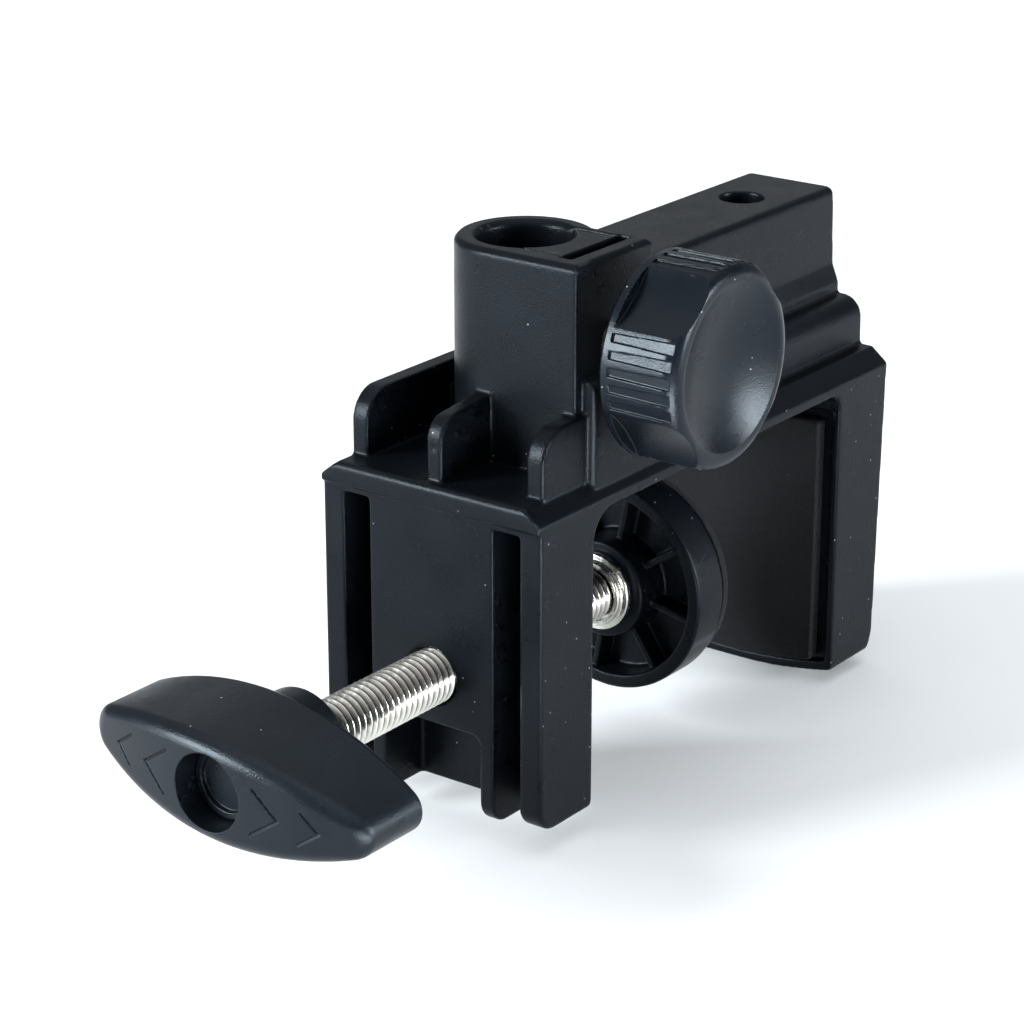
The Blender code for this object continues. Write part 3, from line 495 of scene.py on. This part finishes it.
def make_frame():
    """The C frame: leg, top plate and jaw."""
    side = rounded([
        (LEG_FRONT_Y - BAND_PROUD, PLATE_TOP_Z, 0.0012), (LEG_FRONT_Y - BAND_PROUD, BAND_FOOT_Z, 0),
        (LEG_FRONT_Y, BAND_FOOT_Z, 0), (LEG_FRONT_Y, LEG_FOOT_Z, 0.004), (LEG_REAR_Y, LEG_FOOT_Z, 0.0008),
        (LEG_REAR_Y, PLATE_UNDER_Z, 0.006), (JAW_RIM_Y, PLATE_UNDER_Z, 0.003),
        (JAW_RIM_Y, JAW_FOOT_Z, 0.0008), (JAW_REAR_Y - JAW_LEAN, JAW_FOOT_Z, 0.007),
        (JAW_REAR_Y, PLATE_TOP_Z, 0)])
    body = prism("bracket_body", side, "YZ", -HALF, HALF)
    front = [(-HALF, BEVEL_Z), (-BEVEL_X, PLATE_TOP_Z), (-BEVEL_X, PLATE_TOP_Z + 0.005),
             (BEVEL_X, PLATE_TOP_Z + 0.005), (BEVEL_X, PLATE_TOP_Z), (HALF, BEVEL_Z)]
    front += arc_foot(HALF, JAW_ARC)
    return cut(body, prism("keep_front", front, "XZ", LEG_FRONT_Y - 0.01, JAW_REAR_Y + 0.01), "INTERSECT")


def add_upper(body):
    """What stands on the frame: beam, socket, low boss, ribs and the leg's deeper middle."""
    foot = PLATE_TOP_Z - 0.001
    right = [(STEP_HALF, foot, 0), (STEP_HALF - 0.0002, STEP_TOP_Z, 0.004), (BEAM_FLARE[1][0], STEP_TOP_Z, 0),
             (*BEAM_FLARE[1], 0), (*BEAM_FLARE[0], 0), (BEAM_HALF, BEAM_TOP_Z, 0.0016)]
    left = [(-x, z, radius) for x, z, radius in reversed(right)]
    add(body, prism("beam", rounded(right + left), "XZ", SOCKET_Y, BEAM_REAR_Y))
    tube = ((0, foot - 0.0003), (0, SOCKET_TOP_Z - SOCKET_CHAMFER), (-SOCKET_CHAMFER, SOCKET_TOP_Z))
    add(body, loft("tube", [[(x, y, z) for x, y in socket_plan(grow)] for grow, z in tube]))
    low_boss = rounded([(0, LOW_BOSS_TOP_Z, 0), (LOW_BOSS_X, LOW_BOSS_TOP_Z, 0.0022),
                        (LOW_BOSS_X, foot - 0.0015, 0), (0, foot - 0.0015, 0)])
    low_plan = rounded([(0, LOW_BOSS_FRONT_Y, 0), (LOW_BOSS_X, LOW_BOSS_FRONT_Y, 0.0012),
                        (LOW_BOSS_X, LOW_BOSS_REAR_Y, 0.0008), (0, LOW_BOSS_REAR_Y, 0)])
    boss = prism("low_boss", low_boss, "XZ", LOW_BOSS_FRONT_Y - 0.001, LOW_BOSS_REAR_Y + 0.001)
    cut(boss, prism("low_plan", low_plan, "XY", foot - 0.01, SOCKET_TOP_Z), "INTERSECT")
    add(body, bake(boss))
    add(body, rib("rib_right", RIB_FRONT_Y, SOCKET_Y - 0.0088, RIB_TOP_Z, RIB_TOP_Z, 0.0058,
                  RIB_INNER_X, RIB_OUTER_X))
    add(body, rib("rib_left", RIB_FRONT_Y, SOCKET_Y + 0.0097, RIB_TOP_Z, RIB_TOP_Z, 0.0058,
                  -RIB_OUTER_X, -RIB_INNER_X))
    add(body, rib("rib_middle", LEG_FRONT_Y + 0.0013, SOCKET_Y - 0.0113, RIB_TOP_Z - 0.0008,
                  RIB_TOP_Z + 0.0006, 0.0040, -0.0016, 0.0016))
    pin = lathe("pin_mark", "Y", (0, 0, 0.0413), [(0.0005, LEG_FRONT_Y), (0.0005, LEG_FRONT_Y + 0.0016)], 24)
    cut(body, pin)
    deep = rounded([(LEG_FRONT_Y + 0.0002, 0.0, 0), (LEG_FRONT_Y, LEG_MID_FOOT_Z, 0.004),
                    (LEG_REAR_Y, LEG_MID_FOOT_Z, 0.0008), (LEG_REAR_Y - 0.0002, 0.0, 0)])
    add(body, prism("leg_middle", deep, "YZ", -0.0160, 0.0160))


def cut_openings(body):
    """Slots, pocket, screw hole, socket bore, shoe room, pad recess and the hollows behind and below."""
    below, ahead = LEG_FOOT_Z - 0.01, LEG_FRONT_Y - 0.01
    for low, high in ((SLOT_INNER_X, SLOT_OUTER_X), (-SLOT_OUTER_X, -SLOT_INNER_X)):
        cut(body, block("slot", (low, ahead, below), (high, LEG_FRONT_Y + SLOT_DEPTH, SLOT_TOP_Z)))
    pocket = rounded([(-POCKET_HALF, below, 0), (POCKET_HALF, below, 0), (POCKET_HALF, POCKET_TOP_Z, 0.002),
                      (-POCKET_HALF, POCKET_TOP_Z, 0.002)])
    cut(body, prism("pocket", pocket, "XZ", ahead, LEG_FRONT_Y + POCKET_DEPTH))
    round_hole = [(SCREW_R + GAP, ahead), (SCREW_R + GAP, LEG_REAR_Y + 0.01)]
    cut(body, lathe("screw_hole", "Y", (0, 0, 0), round_hole))
    cut(body, hexagon("nut_pocket", "Y", (0, 0, 0), nut_low.y - GAP, LEG_REAR_Y + 0.01, 0.0168))
    bore = [(BORE_R, SOCKET_FLOOR_Z), (BORE_R, SOCKET_TOP_Z - SOCKET_CHAMFER),
            (BORE_R + SOCKET_CHAMFER + 0.005, SOCKET_TOP_Z + 0.005)]
    cut(body, lathe("bore", "Z", (0, SOCKET_Y, 0), bore))
    cut(body, prism("shoe_room", shoe_room(), "XY", shoe_low.z - GAP, SOCKET_TOP_Z + 0.01))
    cut(body, lathe("stud_hole", "X", LOCK, [(0.0046, 0.012), (0.0046, LOW_BOSS_X + 0.01)]))
    hole = [(HOLE_R, HOLE_FLOOR_Z), (HOLE_R, BEAM_TOP_Z + 0.01)]
    cut(body, lathe("accessory_hole", "Z", (0, HOLE_Y, 0), hole))
    recess = [(-RECESS_HALF, RECESS_TOP_Z), (RECESS_HALF, RECESS_TOP_Z)]
    recess += arc_foot(RECESS_HALF, JAW_ARC - 0.0020)
    cut(body, prism("pad_recess", recess, "XZ", JAW_RIM_Y - 0.01, pad_high.y + GAP))
    core = rounded([(-CORE_HALF, PLATE_UNDER_Z - 0.01, 0), (CORE_HALF, PLATE_UNDER_Z - 0.01, 0),
                    (CORE_HALF, CORE_TOP_Z, 0.0015), (-CORE_HALF, CORE_TOP_Z, 0.0015)])
    cut(body, prism("core", core, "XZ", CORE_FRONT_Y, CORE_REAR_Y))
    for middle in (-HOLLOW_STEP, 0.0, HOLLOW_STEP):
        low, high = middle - HOLLOW_HALF, middle + HOLLOW_HALF
        hollow = rounded([(low, HOLLOW_FOOT_Z, 0.0015), (high, HOLLOW_FOOT_Z, 0.0015),
                          (high, HOLLOW_TOP_Z, 0.0015), (low, HOLLOW_TOP_Z, 0.0015)])
        cut(body, prism("hollow", hollow, "XZ", HOLLOW_FLOOR_Y, JAW_REAR_Y + 0.01))


def make_body():
    """The one moulding: frame, beam, socket and ribs, with all its openings."""
    body = make_frame()
    add_upper(body)
    cut_openings(body)
    mould(body, 0.00027, 12, 194000)
    show(body, "clamp_frame", "body_plastic", BODY, "clamp_body", "bridge_beam", "pole_socket")


def shoe_room():
    """Plan of the slot in the boss: a channel for the shoe, then a wider one for the plate nut."""
    shoe, plate = 0.0081, 0.0089
    near, far = 0.0130, 0.0158
    half = [(0.001, shoe), (near, shoe), (near, plate), (far, plate)]
    return [(x, SOCKET_Y + y) for x, y in half] + [(x, SOCKET_Y - y) for x, y in reversed(half)]


# ---------------------------------------------------------------- pads

def make_jaw_pad():
    """The foam pad in the jaw's recess."""
    half, top = pad_high.x, pad_high.z
    outline = [(-half, top), (half, top)] + arc_foot(half, JAW_ARC - 0.0028)
    pad = prism("jaw_foam_pad", outline, "XZ", pad_low.y, pad_high.y)
    mould(pad, 0.00025, 8, 24000)
    show(pad, "clamp_frame", "pad_foam", FOAM, "jaw_pad")


def make_facing():
    """The foam facing on the disc."""
    radius, low, high = facing_high.x, facing_low.y, facing_high.y
    profile = rounded([(0.0008, low, 0), (radius, low, 0.0002), (radius, high, 0.0007), (0.0008, high, 0)], 5)
    facing = lathe("disc_facing", "Y", (0, 0, 0), profile)
    show(smoothed(facing, 40), "pad_carriage", "pad_foam", FOAM, "pad_facing")


def make_disc():
    """The spoked disc on the screw's end."""
    radius, front, rear = disc_high.x, disc_low.y + 0.0025, disc_high.y
    hub_front, web = disc_low.y, disc_low.y + 0.0073
    profile = rounded([
        (HUB_BORE_R, hub_front, 0), (HUB_BORE_R, rear - 0.0025, 0), (0.0075, rear - 0.0025, 0),
        (0.0075, rear, 0), (radius, rear, 0.0016), (radius, front, 0.0006),
        (0.0177, front, 0.0004), (0.0173, web, 0.0006),
        (0.0096, web, 0.0006), (0.0093, hub_front, 0.0006)], 6)
    disc = lathe("spoked_disc", "Y", (0, 0, 0), profile, ring=True)
    for index in range(SPOKES):
        spoke = block(f"spoke_{index}", (0.0087, web - 0.0040, -0.0006), (0.0183, web + 0.0006, 0.0006))
        spoke.data.transform(Matrix.Rotation(2 * math.pi * (index + 0.25) / SPOKES, 4, "Y"))
        add(disc, spoke)
    mould(disc, 0.00022, 3, 60000)
    show(disc, "pad_carriage", "body_plastic", BODY, "pressure_pad")


def make_washer():
    """The flanged ring in the disc's hub."""
    back, front = washer_high.y, washer_low.y
    shoulder = -0.0447
    profile = rounded([
        (HUB_BORE_R, back, 0.0001), (0.0074, back, 0.0003), (0.0074, back - 0.0014, 0.0004),
        (0.0063, back - 0.0015, 0.0003), (0.0063, front, 0.0004), (SCREW_R + GAP, front, 0.0001),
        (SCREW_R + GAP, shoulder, 0.0001), (HUB_BORE_R, shoulder, 0.0001)], 4)
    show(smoothed(lathe("flanged_washer", "Y", (0, 0, 0), profile, ring=True), 45), "pad_carriage",
         "nickel_steel", PLAIN_NICKEL, "pad_washer")


# ---------------------------------------------------------------- threads and screw

def thread(name, axis, centre, low, high, crest, pitch, sides=56, chamfer=0.0006):
    """A right-hand thread: a profile swept along its helix, trimmed flat at both ends."""
    root = crest - 0.58 * pitch
    cycle = [(-0.05, crest), (0.05, crest), (0.09, crest - 0.03 * pitch), (0.36, root + 0.04 * pitch),
             (0.42, root), (0.58, root), (0.64, root + 0.04 * pitch), (0.91, crest - 0.03 * pitch)]
    first = math.floor(low / pitch) - 2
    last = math.ceil(high / pitch) + 2
    work = bmesh.new()
    columns = [(turn + phase, radius) for turn in range(first, last) for phase, radius in cycle]
    grid = []
    for side in range(sides + 1):
        share = side / sides
        column = []
        for place, radius in columns:
            wanted = (place + share) * pitch
            along = min(max(wanted, low), high)
            end = min(along - low, high - along)
            radius = root if along != wanted else min(radius, crest - chamfer + end)
            column.append(work.verts.new(on_axis(axis, centre, radius, 2 * math.pi * share, along)))
        grid.append(column)
    for row, after in zip(grid, grid[1:]):
        for i in range(len(columns) - 1):
            work.faces.new((row[i], row[i + 1], after[i + 1], after[i]))
    bmesh.ops.remove_doubles(work, verts=work.verts, dist=2e-6)
    bmesh.ops.dissolve_degenerate(work, edges=work.edges, dist=2e-6)
    open_edges = [edge for edge in work.edges if edge.is_boundary]
    bmesh.ops.holes_fill(work, edges=open_edges, sides=0)
    return smoothed(make(name, work), 50)


def join(item, *others):
    """Move other meshes into one piece."""
    work = bmesh.new()
    work.from_mesh(item.data)
    for other in others:
        work.from_mesh(other.data)
        bpy.data.objects.remove(other, do_unlink=True)
    work.to_mesh(item.data)
    work.free()
    return item


def make_screw():
    """The clamp screw: a threaded rod, a plain neck with a clip groove, and a hexagon drive."""
    shoulder = -0.0450
    rod = thread("threaded_rod", "Y", (0, 0, 0), -0.1380, shoulder, SCREW_R - 0.00002, PITCH)
    neck = lathe("neck", "Y", (0, 0, 0), rounded([
        (0.0002, screw_high.y, 0), (0.0035, screw_high.y, 0.0005), (0.0035, -0.0322, 0.0001),
        (0.0028, -0.0322, 0.0001), (0.0028, -0.0334, 0.0001), (0.0035, -0.0334, 0.0001),
        (0.0035, shoulder - 0.002, 0), (0.0002, shoulder - 0.002, 0)], 3), 64)
    drive = hexagon("drive", "Y", (0, 0, 0), screw_low.y, -0.1372, 0.0110)
    join(rod, smoothed(neck, 40), drive)
    show(smoothed(rod, 50), "screw_and_handle", "nickel_steel", NICKEL, "clamp_screw")


def make_stud():
    """The stud between the boss and the knob, with its hex head inside the knob."""
    rod = thread("lock_thread", "X", LOCK, stud_low.x, 0.0268, 0.00398, 0.00125, 44, 0.0004)
    head = hexagon("head", "X", LOCK, 0.0262, stud_high.x, 0.0130)
    join(rod, head)
    show(smoothed(rod, 50), "lock_knob", "nickel_steel", STUD, "lock_stud")


# ---------------------------------------------------------------- handle

def lens(half_length, half_width, tip, wide_steps=64, tip_steps=12):
    """Points (along, across) round a lens of two wide arcs and two tip arcs, upper half first."""
    reach = half_length - tip
    wide = (reach ** 2 / (half_width - tip) + half_width + tip) / 2
    joint = math.atan2(reach, wide - half_width)
    upper = []
    for step in range(tip_steps):
        turn = (math.pi / 2 - joint) * step / tip_steps
        upper.append((reach + tip * math.cos(turn), tip * math.sin(turn)))
    for step in range(wide_steps + 1):
        turn = joint - 2 * joint * step / wide_steps
        upper.append((wide * math.sin(turn), wide * math.cos(turn) - wide + half_width))
    upper += [(-along, across) for along, across in reversed(upper[:tip_steps])]
    return upper + [(along, -across) for along, across in reversed(upper[1:-1])]


def make_handle():
    """The T handle: a bowed lens whose sides flare to the rear, with a dimple and turning marks."""
    tilt = Matrix.Rotation(-HANDLE_TILT, 4, "Y")
    whole = HANDLE_REAR_Y - HANDLE_FRONT_Y
    fillet, steps = 0.0030, 8
    rear_fillet, rear_steps = 0.0014, 6
    layers = []
    for step in range(steps + 1):
        turn = math.pi / 2 * step / steps
        layers.append((fillet * (1 - math.sin(turn)), fillet * (1 - math.cos(turn)), HANDLE_FRONT_HALF))
    for step in range(rear_steps + 1):
        turn = math.pi / 2 * step / rear_steps
        layers.append((rear_fillet * (1 - math.cos(turn)), whole - rear_fillet * (1 - math.sin(turn)),
                       HANDLE_REAR_HALF))
    work = bmesh.new()
    rings = []
    for inset, depth, width in layers:
        ring = []
        for along, across in lens(HANDLE_HALF - inset, width - inset, 0.0040 - inset / 2):
            bow = HANDLE_BOW * (along / HANDLE_HALF) ** 2 * (1 - depth / whole)
            ring.append(work.verts.new((along, HANDLE_FRONT_Y + depth + bow, across)))
        rings.append(ring)
    size = len(rings[0])
    for ring, following in zip(rings, rings[1:]):
        for index in range(size):
            after = (index + 1) % size
            work.faces.new((ring[index], ring[after], following[after], following[index]))
    for ring in (rings[0], rings[-1]):
        for index in range(size // 2):
            corners = (ring[index], ring[index + 1], ring[(size - index - 1) % size],
                       ring[(size - index) % size])
            work.faces.new(dict.fromkeys(corners))
    handle = make("t_handle", work)
    centre = (0, 0, 0)
    add(handle, lathe("boss", "Y", centre, [(0.0100, HANDLE_REAR_Y - 0.003), (0.0097, HANDLE_BOSS_REAR_Y)]))
    dimple = [(DIMPLE_R, HANDLE_FRONT_Y - 0.01), (DIMPLE_R, cap_high.y + GAP)]
    cut(handle, lathe("dimple", "Y", centre, dimple))
    cut(handle, hexagon("drive_socket", "Y", centre, cap_low.y - 0.0001, -0.1369, 0.0116))
    cut(handle, lathe("bore", "Y", centre, [(0.0053, -0.1382), (0.0053, HANDLE_BOSS_REAR_Y + 0.01)]))
    for apex, foot, spread in ((0.0140, 0.0092, 0.0040), (0.0212, 0.0178, 0.0029)):
        for side in (-1, 1):
            for turn in (-1, 1):
                start, end = Vector((side * apex, 0)), Vector((side * foot, turn * spread))
                cut(handle, engraved_line(start, end, 0.00050, 0.00030))
    mould(handle, 0.00011, 4, 190000)
    handle.data.transform(tilt)
    show(handle, "screw_and_handle", "handle_plastic", GRIP, "clamp_handle")


def engraved_line(start, end, width, depth):
    """A thin cutter along a line on the handle's bowed face."""
    course = (end - start).normalized()
    aside = Vector((-course.y, course.x)) * width / 2
    start, end = start - course * width / 2, end + course * width / 2
    rings = []
    for share in (0.0, 0.5, 1.0):
        spot = start.lerp(end, share)
        face = HANDLE_FRONT_Y + HANDLE_BOW * (spot.x / HANDLE_HALF) ** 2
        rings.append([(spot.x + aside.x, face - 0.003, spot.y + aside.y),
                      (spot.x - aside.x, face - 0.003, spot.y - aside.y),
                      (spot.x - aside.x * 0.8, face + depth, spot.y - aside.y * 0.8),
                      (spot.x + aside.x * 0.8, face + depth, spot.y + aside.y * 0.8)])
    return loft("mark", rings)


def make_cap():
    """The dimple's floor, with a stepped ring."""
    low, high, radius = cap_low.y, cap_high.y, cap_high.x
    profile = rounded([(0.0003, low + 0.0008, 0), (radius - 0.0014, low + 0.0008, 0.0002),
                       (radius - 0.0012, low, 0.0002), (radius, low, 0.0003), (radius, high, 0),
                       (0.0003, high, 0)], 4)
    show(smoothed(lathe("dimple_floor", "Y", (0, 0, 0), profile), 40), "screw_and_handle", "handle_plastic",
         GRIP, "handle_cap")


# ---------------------------------------------------------------- lock

def make_knob():
    """The lock knob: four groups of ridges, four scallops and a smooth dish."""
    hub_x, hub_r, rim, chamfer = knob_low.x, 0.0095, 0.0026, 0.0008
    rim_steps, dish_steps = 12, 16
    profile = [(hub_r, hub_x), (hub_r, KNOB_BACK_X), (KNOB_R - chamfer, KNOB_BACK_X),
               (KNOB_R, KNOB_BACK_X + chamfer), (KNOB_R, KNOB_FACE_X - rim)]
    for step in range(1, rim_steps + 1):
        turn = math.radians(105) * step / rim_steps
        profile.append((KNOB_R - rim * (1 - math.cos(turn)), KNOB_FACE_X - rim * (1 - math.sin(turn))))
    edge_r, edge_x = profile[-1]
    floor_x = KNOB_FACE_X - DISH_DEPTH
    for step in range(1, dish_steps):
        share = step / dish_steps
        drop = (edge_x - floor_x) * (1 - (1 - share) ** 2)
        profile.append((edge_r * (1 - share) + 0.0002 * share, edge_x - drop))
    knob = lathe("lock_hand_knob", "X", LOCK, profile, 128)
    low = KNOB_BACK_X + 0.0020
    for group in range(4):
        first = KNOB_TURN + math.pi / 2 * group
        turn = first + math.pi / 4
        reach = KNOB_R + SCALLOP_R - SCALLOP_DEPTH
        spot = LOCK + Vector((0, math.cos(turn) * reach, math.sin(turn) * reach))
        scallop = [(SCALLOP_R, low), (SCALLOP_R, KNOB_FACE_X + 0.01)]
        cut(knob, lathe(f"scallop_{group}", "X", spot, scallop, 192))
        for groove in range(KNOB_GROOVES):
            angle = first + (groove - KNOB_GROOVES // 2) * GROOVE_STEP
            base = KNOB_R - GROOVE_DEPTH
            slot = loft(f"groove_{group}_{groove}", [
                [(x, base, -half), (x, base, half), (x, KNOB_R + 0.003, half), (x, KNOB_R + 0.003, -half)]
                for x, half in ((low, 0.00073), (KNOB_FACE_X, 0.00105))])
            slot.data.transform(Matrix.Translation(LOCK) @ Matrix.Rotation(angle, 4, "X"))
            cut(knob, slot)
    cut(knob, hexagon("stud_socket", "X", LOCK, hub_x - 0.01, stud_high.x + GAP, 0.0136))
    mould(knob, 0.00010, 2, 170000)
    show(knob, "lock_knob", "knob_plastic", KNOB, "lock_knob")


def make_shoe():
    """The clamping shoe, whose hollow face is the bore's missing side."""
    top, back = shoe_high.z, shoe_high.x
    half_near, half_far = 0.0071, 0.0078
    outline = [(0.002, SOCKET_Y - half_near), (back, SOCKET_Y - half_far), (back, SOCKET_Y + half_far),
               (0.002, SOCKET_Y + half_near)]
    shoe = prism("clamping_shoe", outline, "XY", shoe_low.z, top)
    cut(shoe, lathe("face", "Z", (0, SOCKET_Y, 0), [(BORE_R, 0.0), (BORE_R, 0.1)]))
    mould(shoe, 0.00018, 2, 16000)
    show(shoe, "lock_shoe", "body_plastic", BODY, "lock_shoe")


def make_nut():
    """The clamp nut: a chamfered hexagon with a plain bore."""
    flats = 0.0160
    nut = hexagon("hex_nut", "Y", (0, 0, 0), nut_low.y, nut_high.y, flats)
    corner = flats / math.sqrt(3)
    keep = [(corner - 0.0012, nut_low.y - 0.0001), (corner + 0.0001, nut_low.y + 0.0007),
            (corner + 0.0001, nut_high.y - 0.0007), (corner - 0.0012, nut_high.y + 0.0001)]
    cut(nut, lathe("chamfer", "Y", (0, 0, 0), keep), "INTERSECT")
    bore = [(0.0058, nut_low.y - 0.0005), (SCREW_R + GAP, nut_low.y + 0.0004),
            (SCREW_R + GAP, nut_high.y - 0.0004), (0.0058, nut_high.y + 0.0005)]
    cut(nut, lathe("nut_bore", "Y", (0, 0, 0), bore))
    bake(nut)
    show(smoothed(nut, 30), "clamp_frame", "zinc_steel", ZINC, "clamp_nut")


def keep_cad(name, material):
    """Carry a CAD node over, with its material."""
    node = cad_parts[name]
    node.data.materials.clear()
    node.data.materials.append(material)


# ---------------------------------------------------------------- stage, light and camera

def make_stage():
    """A pale floor under a sky that brightens overhead."""
    work = bmesh.new()
    size, floor_z = 4.0, CAD_LOW.z - 0.0004
    corners = ((-size, -size), (size, -size), (size, size), (-size, size))
    work.faces.new([work.verts.new((x, y, floor_z)) for x, y in corners])
    floor = make("floor", work)
    material, tree, shader, spot = graph("pale_floor", 0.75)
    tone = blend(tree, noise(tree, spot, 6.0), (0.92, 0.925, 0.93), (0.94, 0.94, 0.94))
    tree.links.new(tone, shader.inputs["Base Color"])
    shader.inputs["Specular IOR Level"].default_value = 0.2
    floor.data.materials.append(material)
    world = bpy.data.worlds.new("studio")
    world.use_nodes = True
    tree = world.node_tree
    sky = tree.nodes["Background"]
    axes = tree.nodes.new("ShaderNodeSeparateXYZ")
    tree.links.new(tree.nodes.new("ShaderNodeTexCoord").outputs["Generated"], axes.inputs["Vector"])
    rise = tree.nodes.new("ShaderNodeMath")
    rise.operation = "POWER"
    above_horizon = remap(tree, axes.outputs["Z"], 0.0, 1.0, 0.0, 1.0)
    tree.links.new(above_horizon, rise.inputs[0])
    rise.inputs[1].default_value = 4.0
    tree.links.new(remap(tree, rise.outputs[0], 0.0, 1.0, 0.16, 1.75), sky.inputs["Strength"])
    sky.inputs["Color"].default_value = (0.93, 0.96, 1.0, 1.0)
    bpy.context.scene.world = world


def aim(light, place, target):
    """Hang a light at a place and turn it to a target."""
    item = bpy.data.objects.new(light.name, light)
    item.location = place
    item.rotation_mode = "QUATERNION"
    item.rotation_quaternion = (target - item.location).to_track_quat("-Z", "Y")
    bpy.context.scene.collection.objects.link(item)


def make_lights():
    """Three soft boxes, and a pool of light on the floor that the upright edges reflect."""
    middle = (CAD_LOW + CAD_HIGH) / 2
    for name, toward, away, width, height, glow in (
            ("front_left", (-0.56, -0.80, 0.29), 1.50, 0.56, 0.66, 46.0),
            ("back_left", (-0.56, 0.75, 0.40), 1.60, 1.30, 0.60, 0.5),
            ("right_low", (0.90, 0.39, 0.17), 1.60, 0.60, 0.46, 41.0)):
        box = bpy.data.lights.new(name, "AREA")
        box.shape = "RECTANGLE"
        box.size, box.size_y = width, height
        box.energy, box.color = glow * math.pi * width * height, (0.90, 0.96, 1.0)
        aim(box, middle + Vector(toward).normalized() * away, middle)
    pool = bpy.data.lights.new("floor_pool", "SPOT")
    pool.energy, pool.color = 1000.0, (0.92, 0.97, 1.0)
    pool.spot_size, pool.spot_blend, pool.shadow_soft_size = math.radians(16), 1.0, 0.02
    target = Vector((CAD_HIGH.x + 0.135, LEG_FRONT_Y - 0.115, CAD_LOW.z))
    aim(pool, target + Vector((0.10, -0.08, 0.75)), target)


def make_camera():
    """The camera at the photo's angle."""
    azimuth, elevation = math.radians(36.61), math.radians(20.386)
    data = bpy.data.cameras.new("photo_view")
    data.lens = 109.41
    data.sensor_width = 36.0
    data.clip_start = 0.01
    data.clip_end = 20.0
    camera = bpy.data.objects.new("photo_view", data)
    back = Vector((math.sin(azimuth) * math.cos(elevation), -math.cos(azimuth) * math.cos(elevation),
                   math.sin(elevation)))
    camera.location = (0.305522, -0.481139, 0.213609)
    camera.rotation_mode = "QUATERNION"
    camera.rotation_quaternion = (-back).to_track_quat("-Z", "Y")
    bpy.context.scene.collection.objects.link(camera)
    bpy.context.scene.camera = camera


make_camera()
make_body()
make_jaw_pad()
make_facing()
make_disc()
make_washer()
make_screw()
make_stud()
make_handle()
make_cap()
make_knob()
make_shoe()
make_nut()
keep_cad("lock_plate_nut", ZINC)
keep_cad("screw_clip", ZINC)
make_stage()
make_lights()
bpy.context.scene.view_settings.view_transform = "Standard"
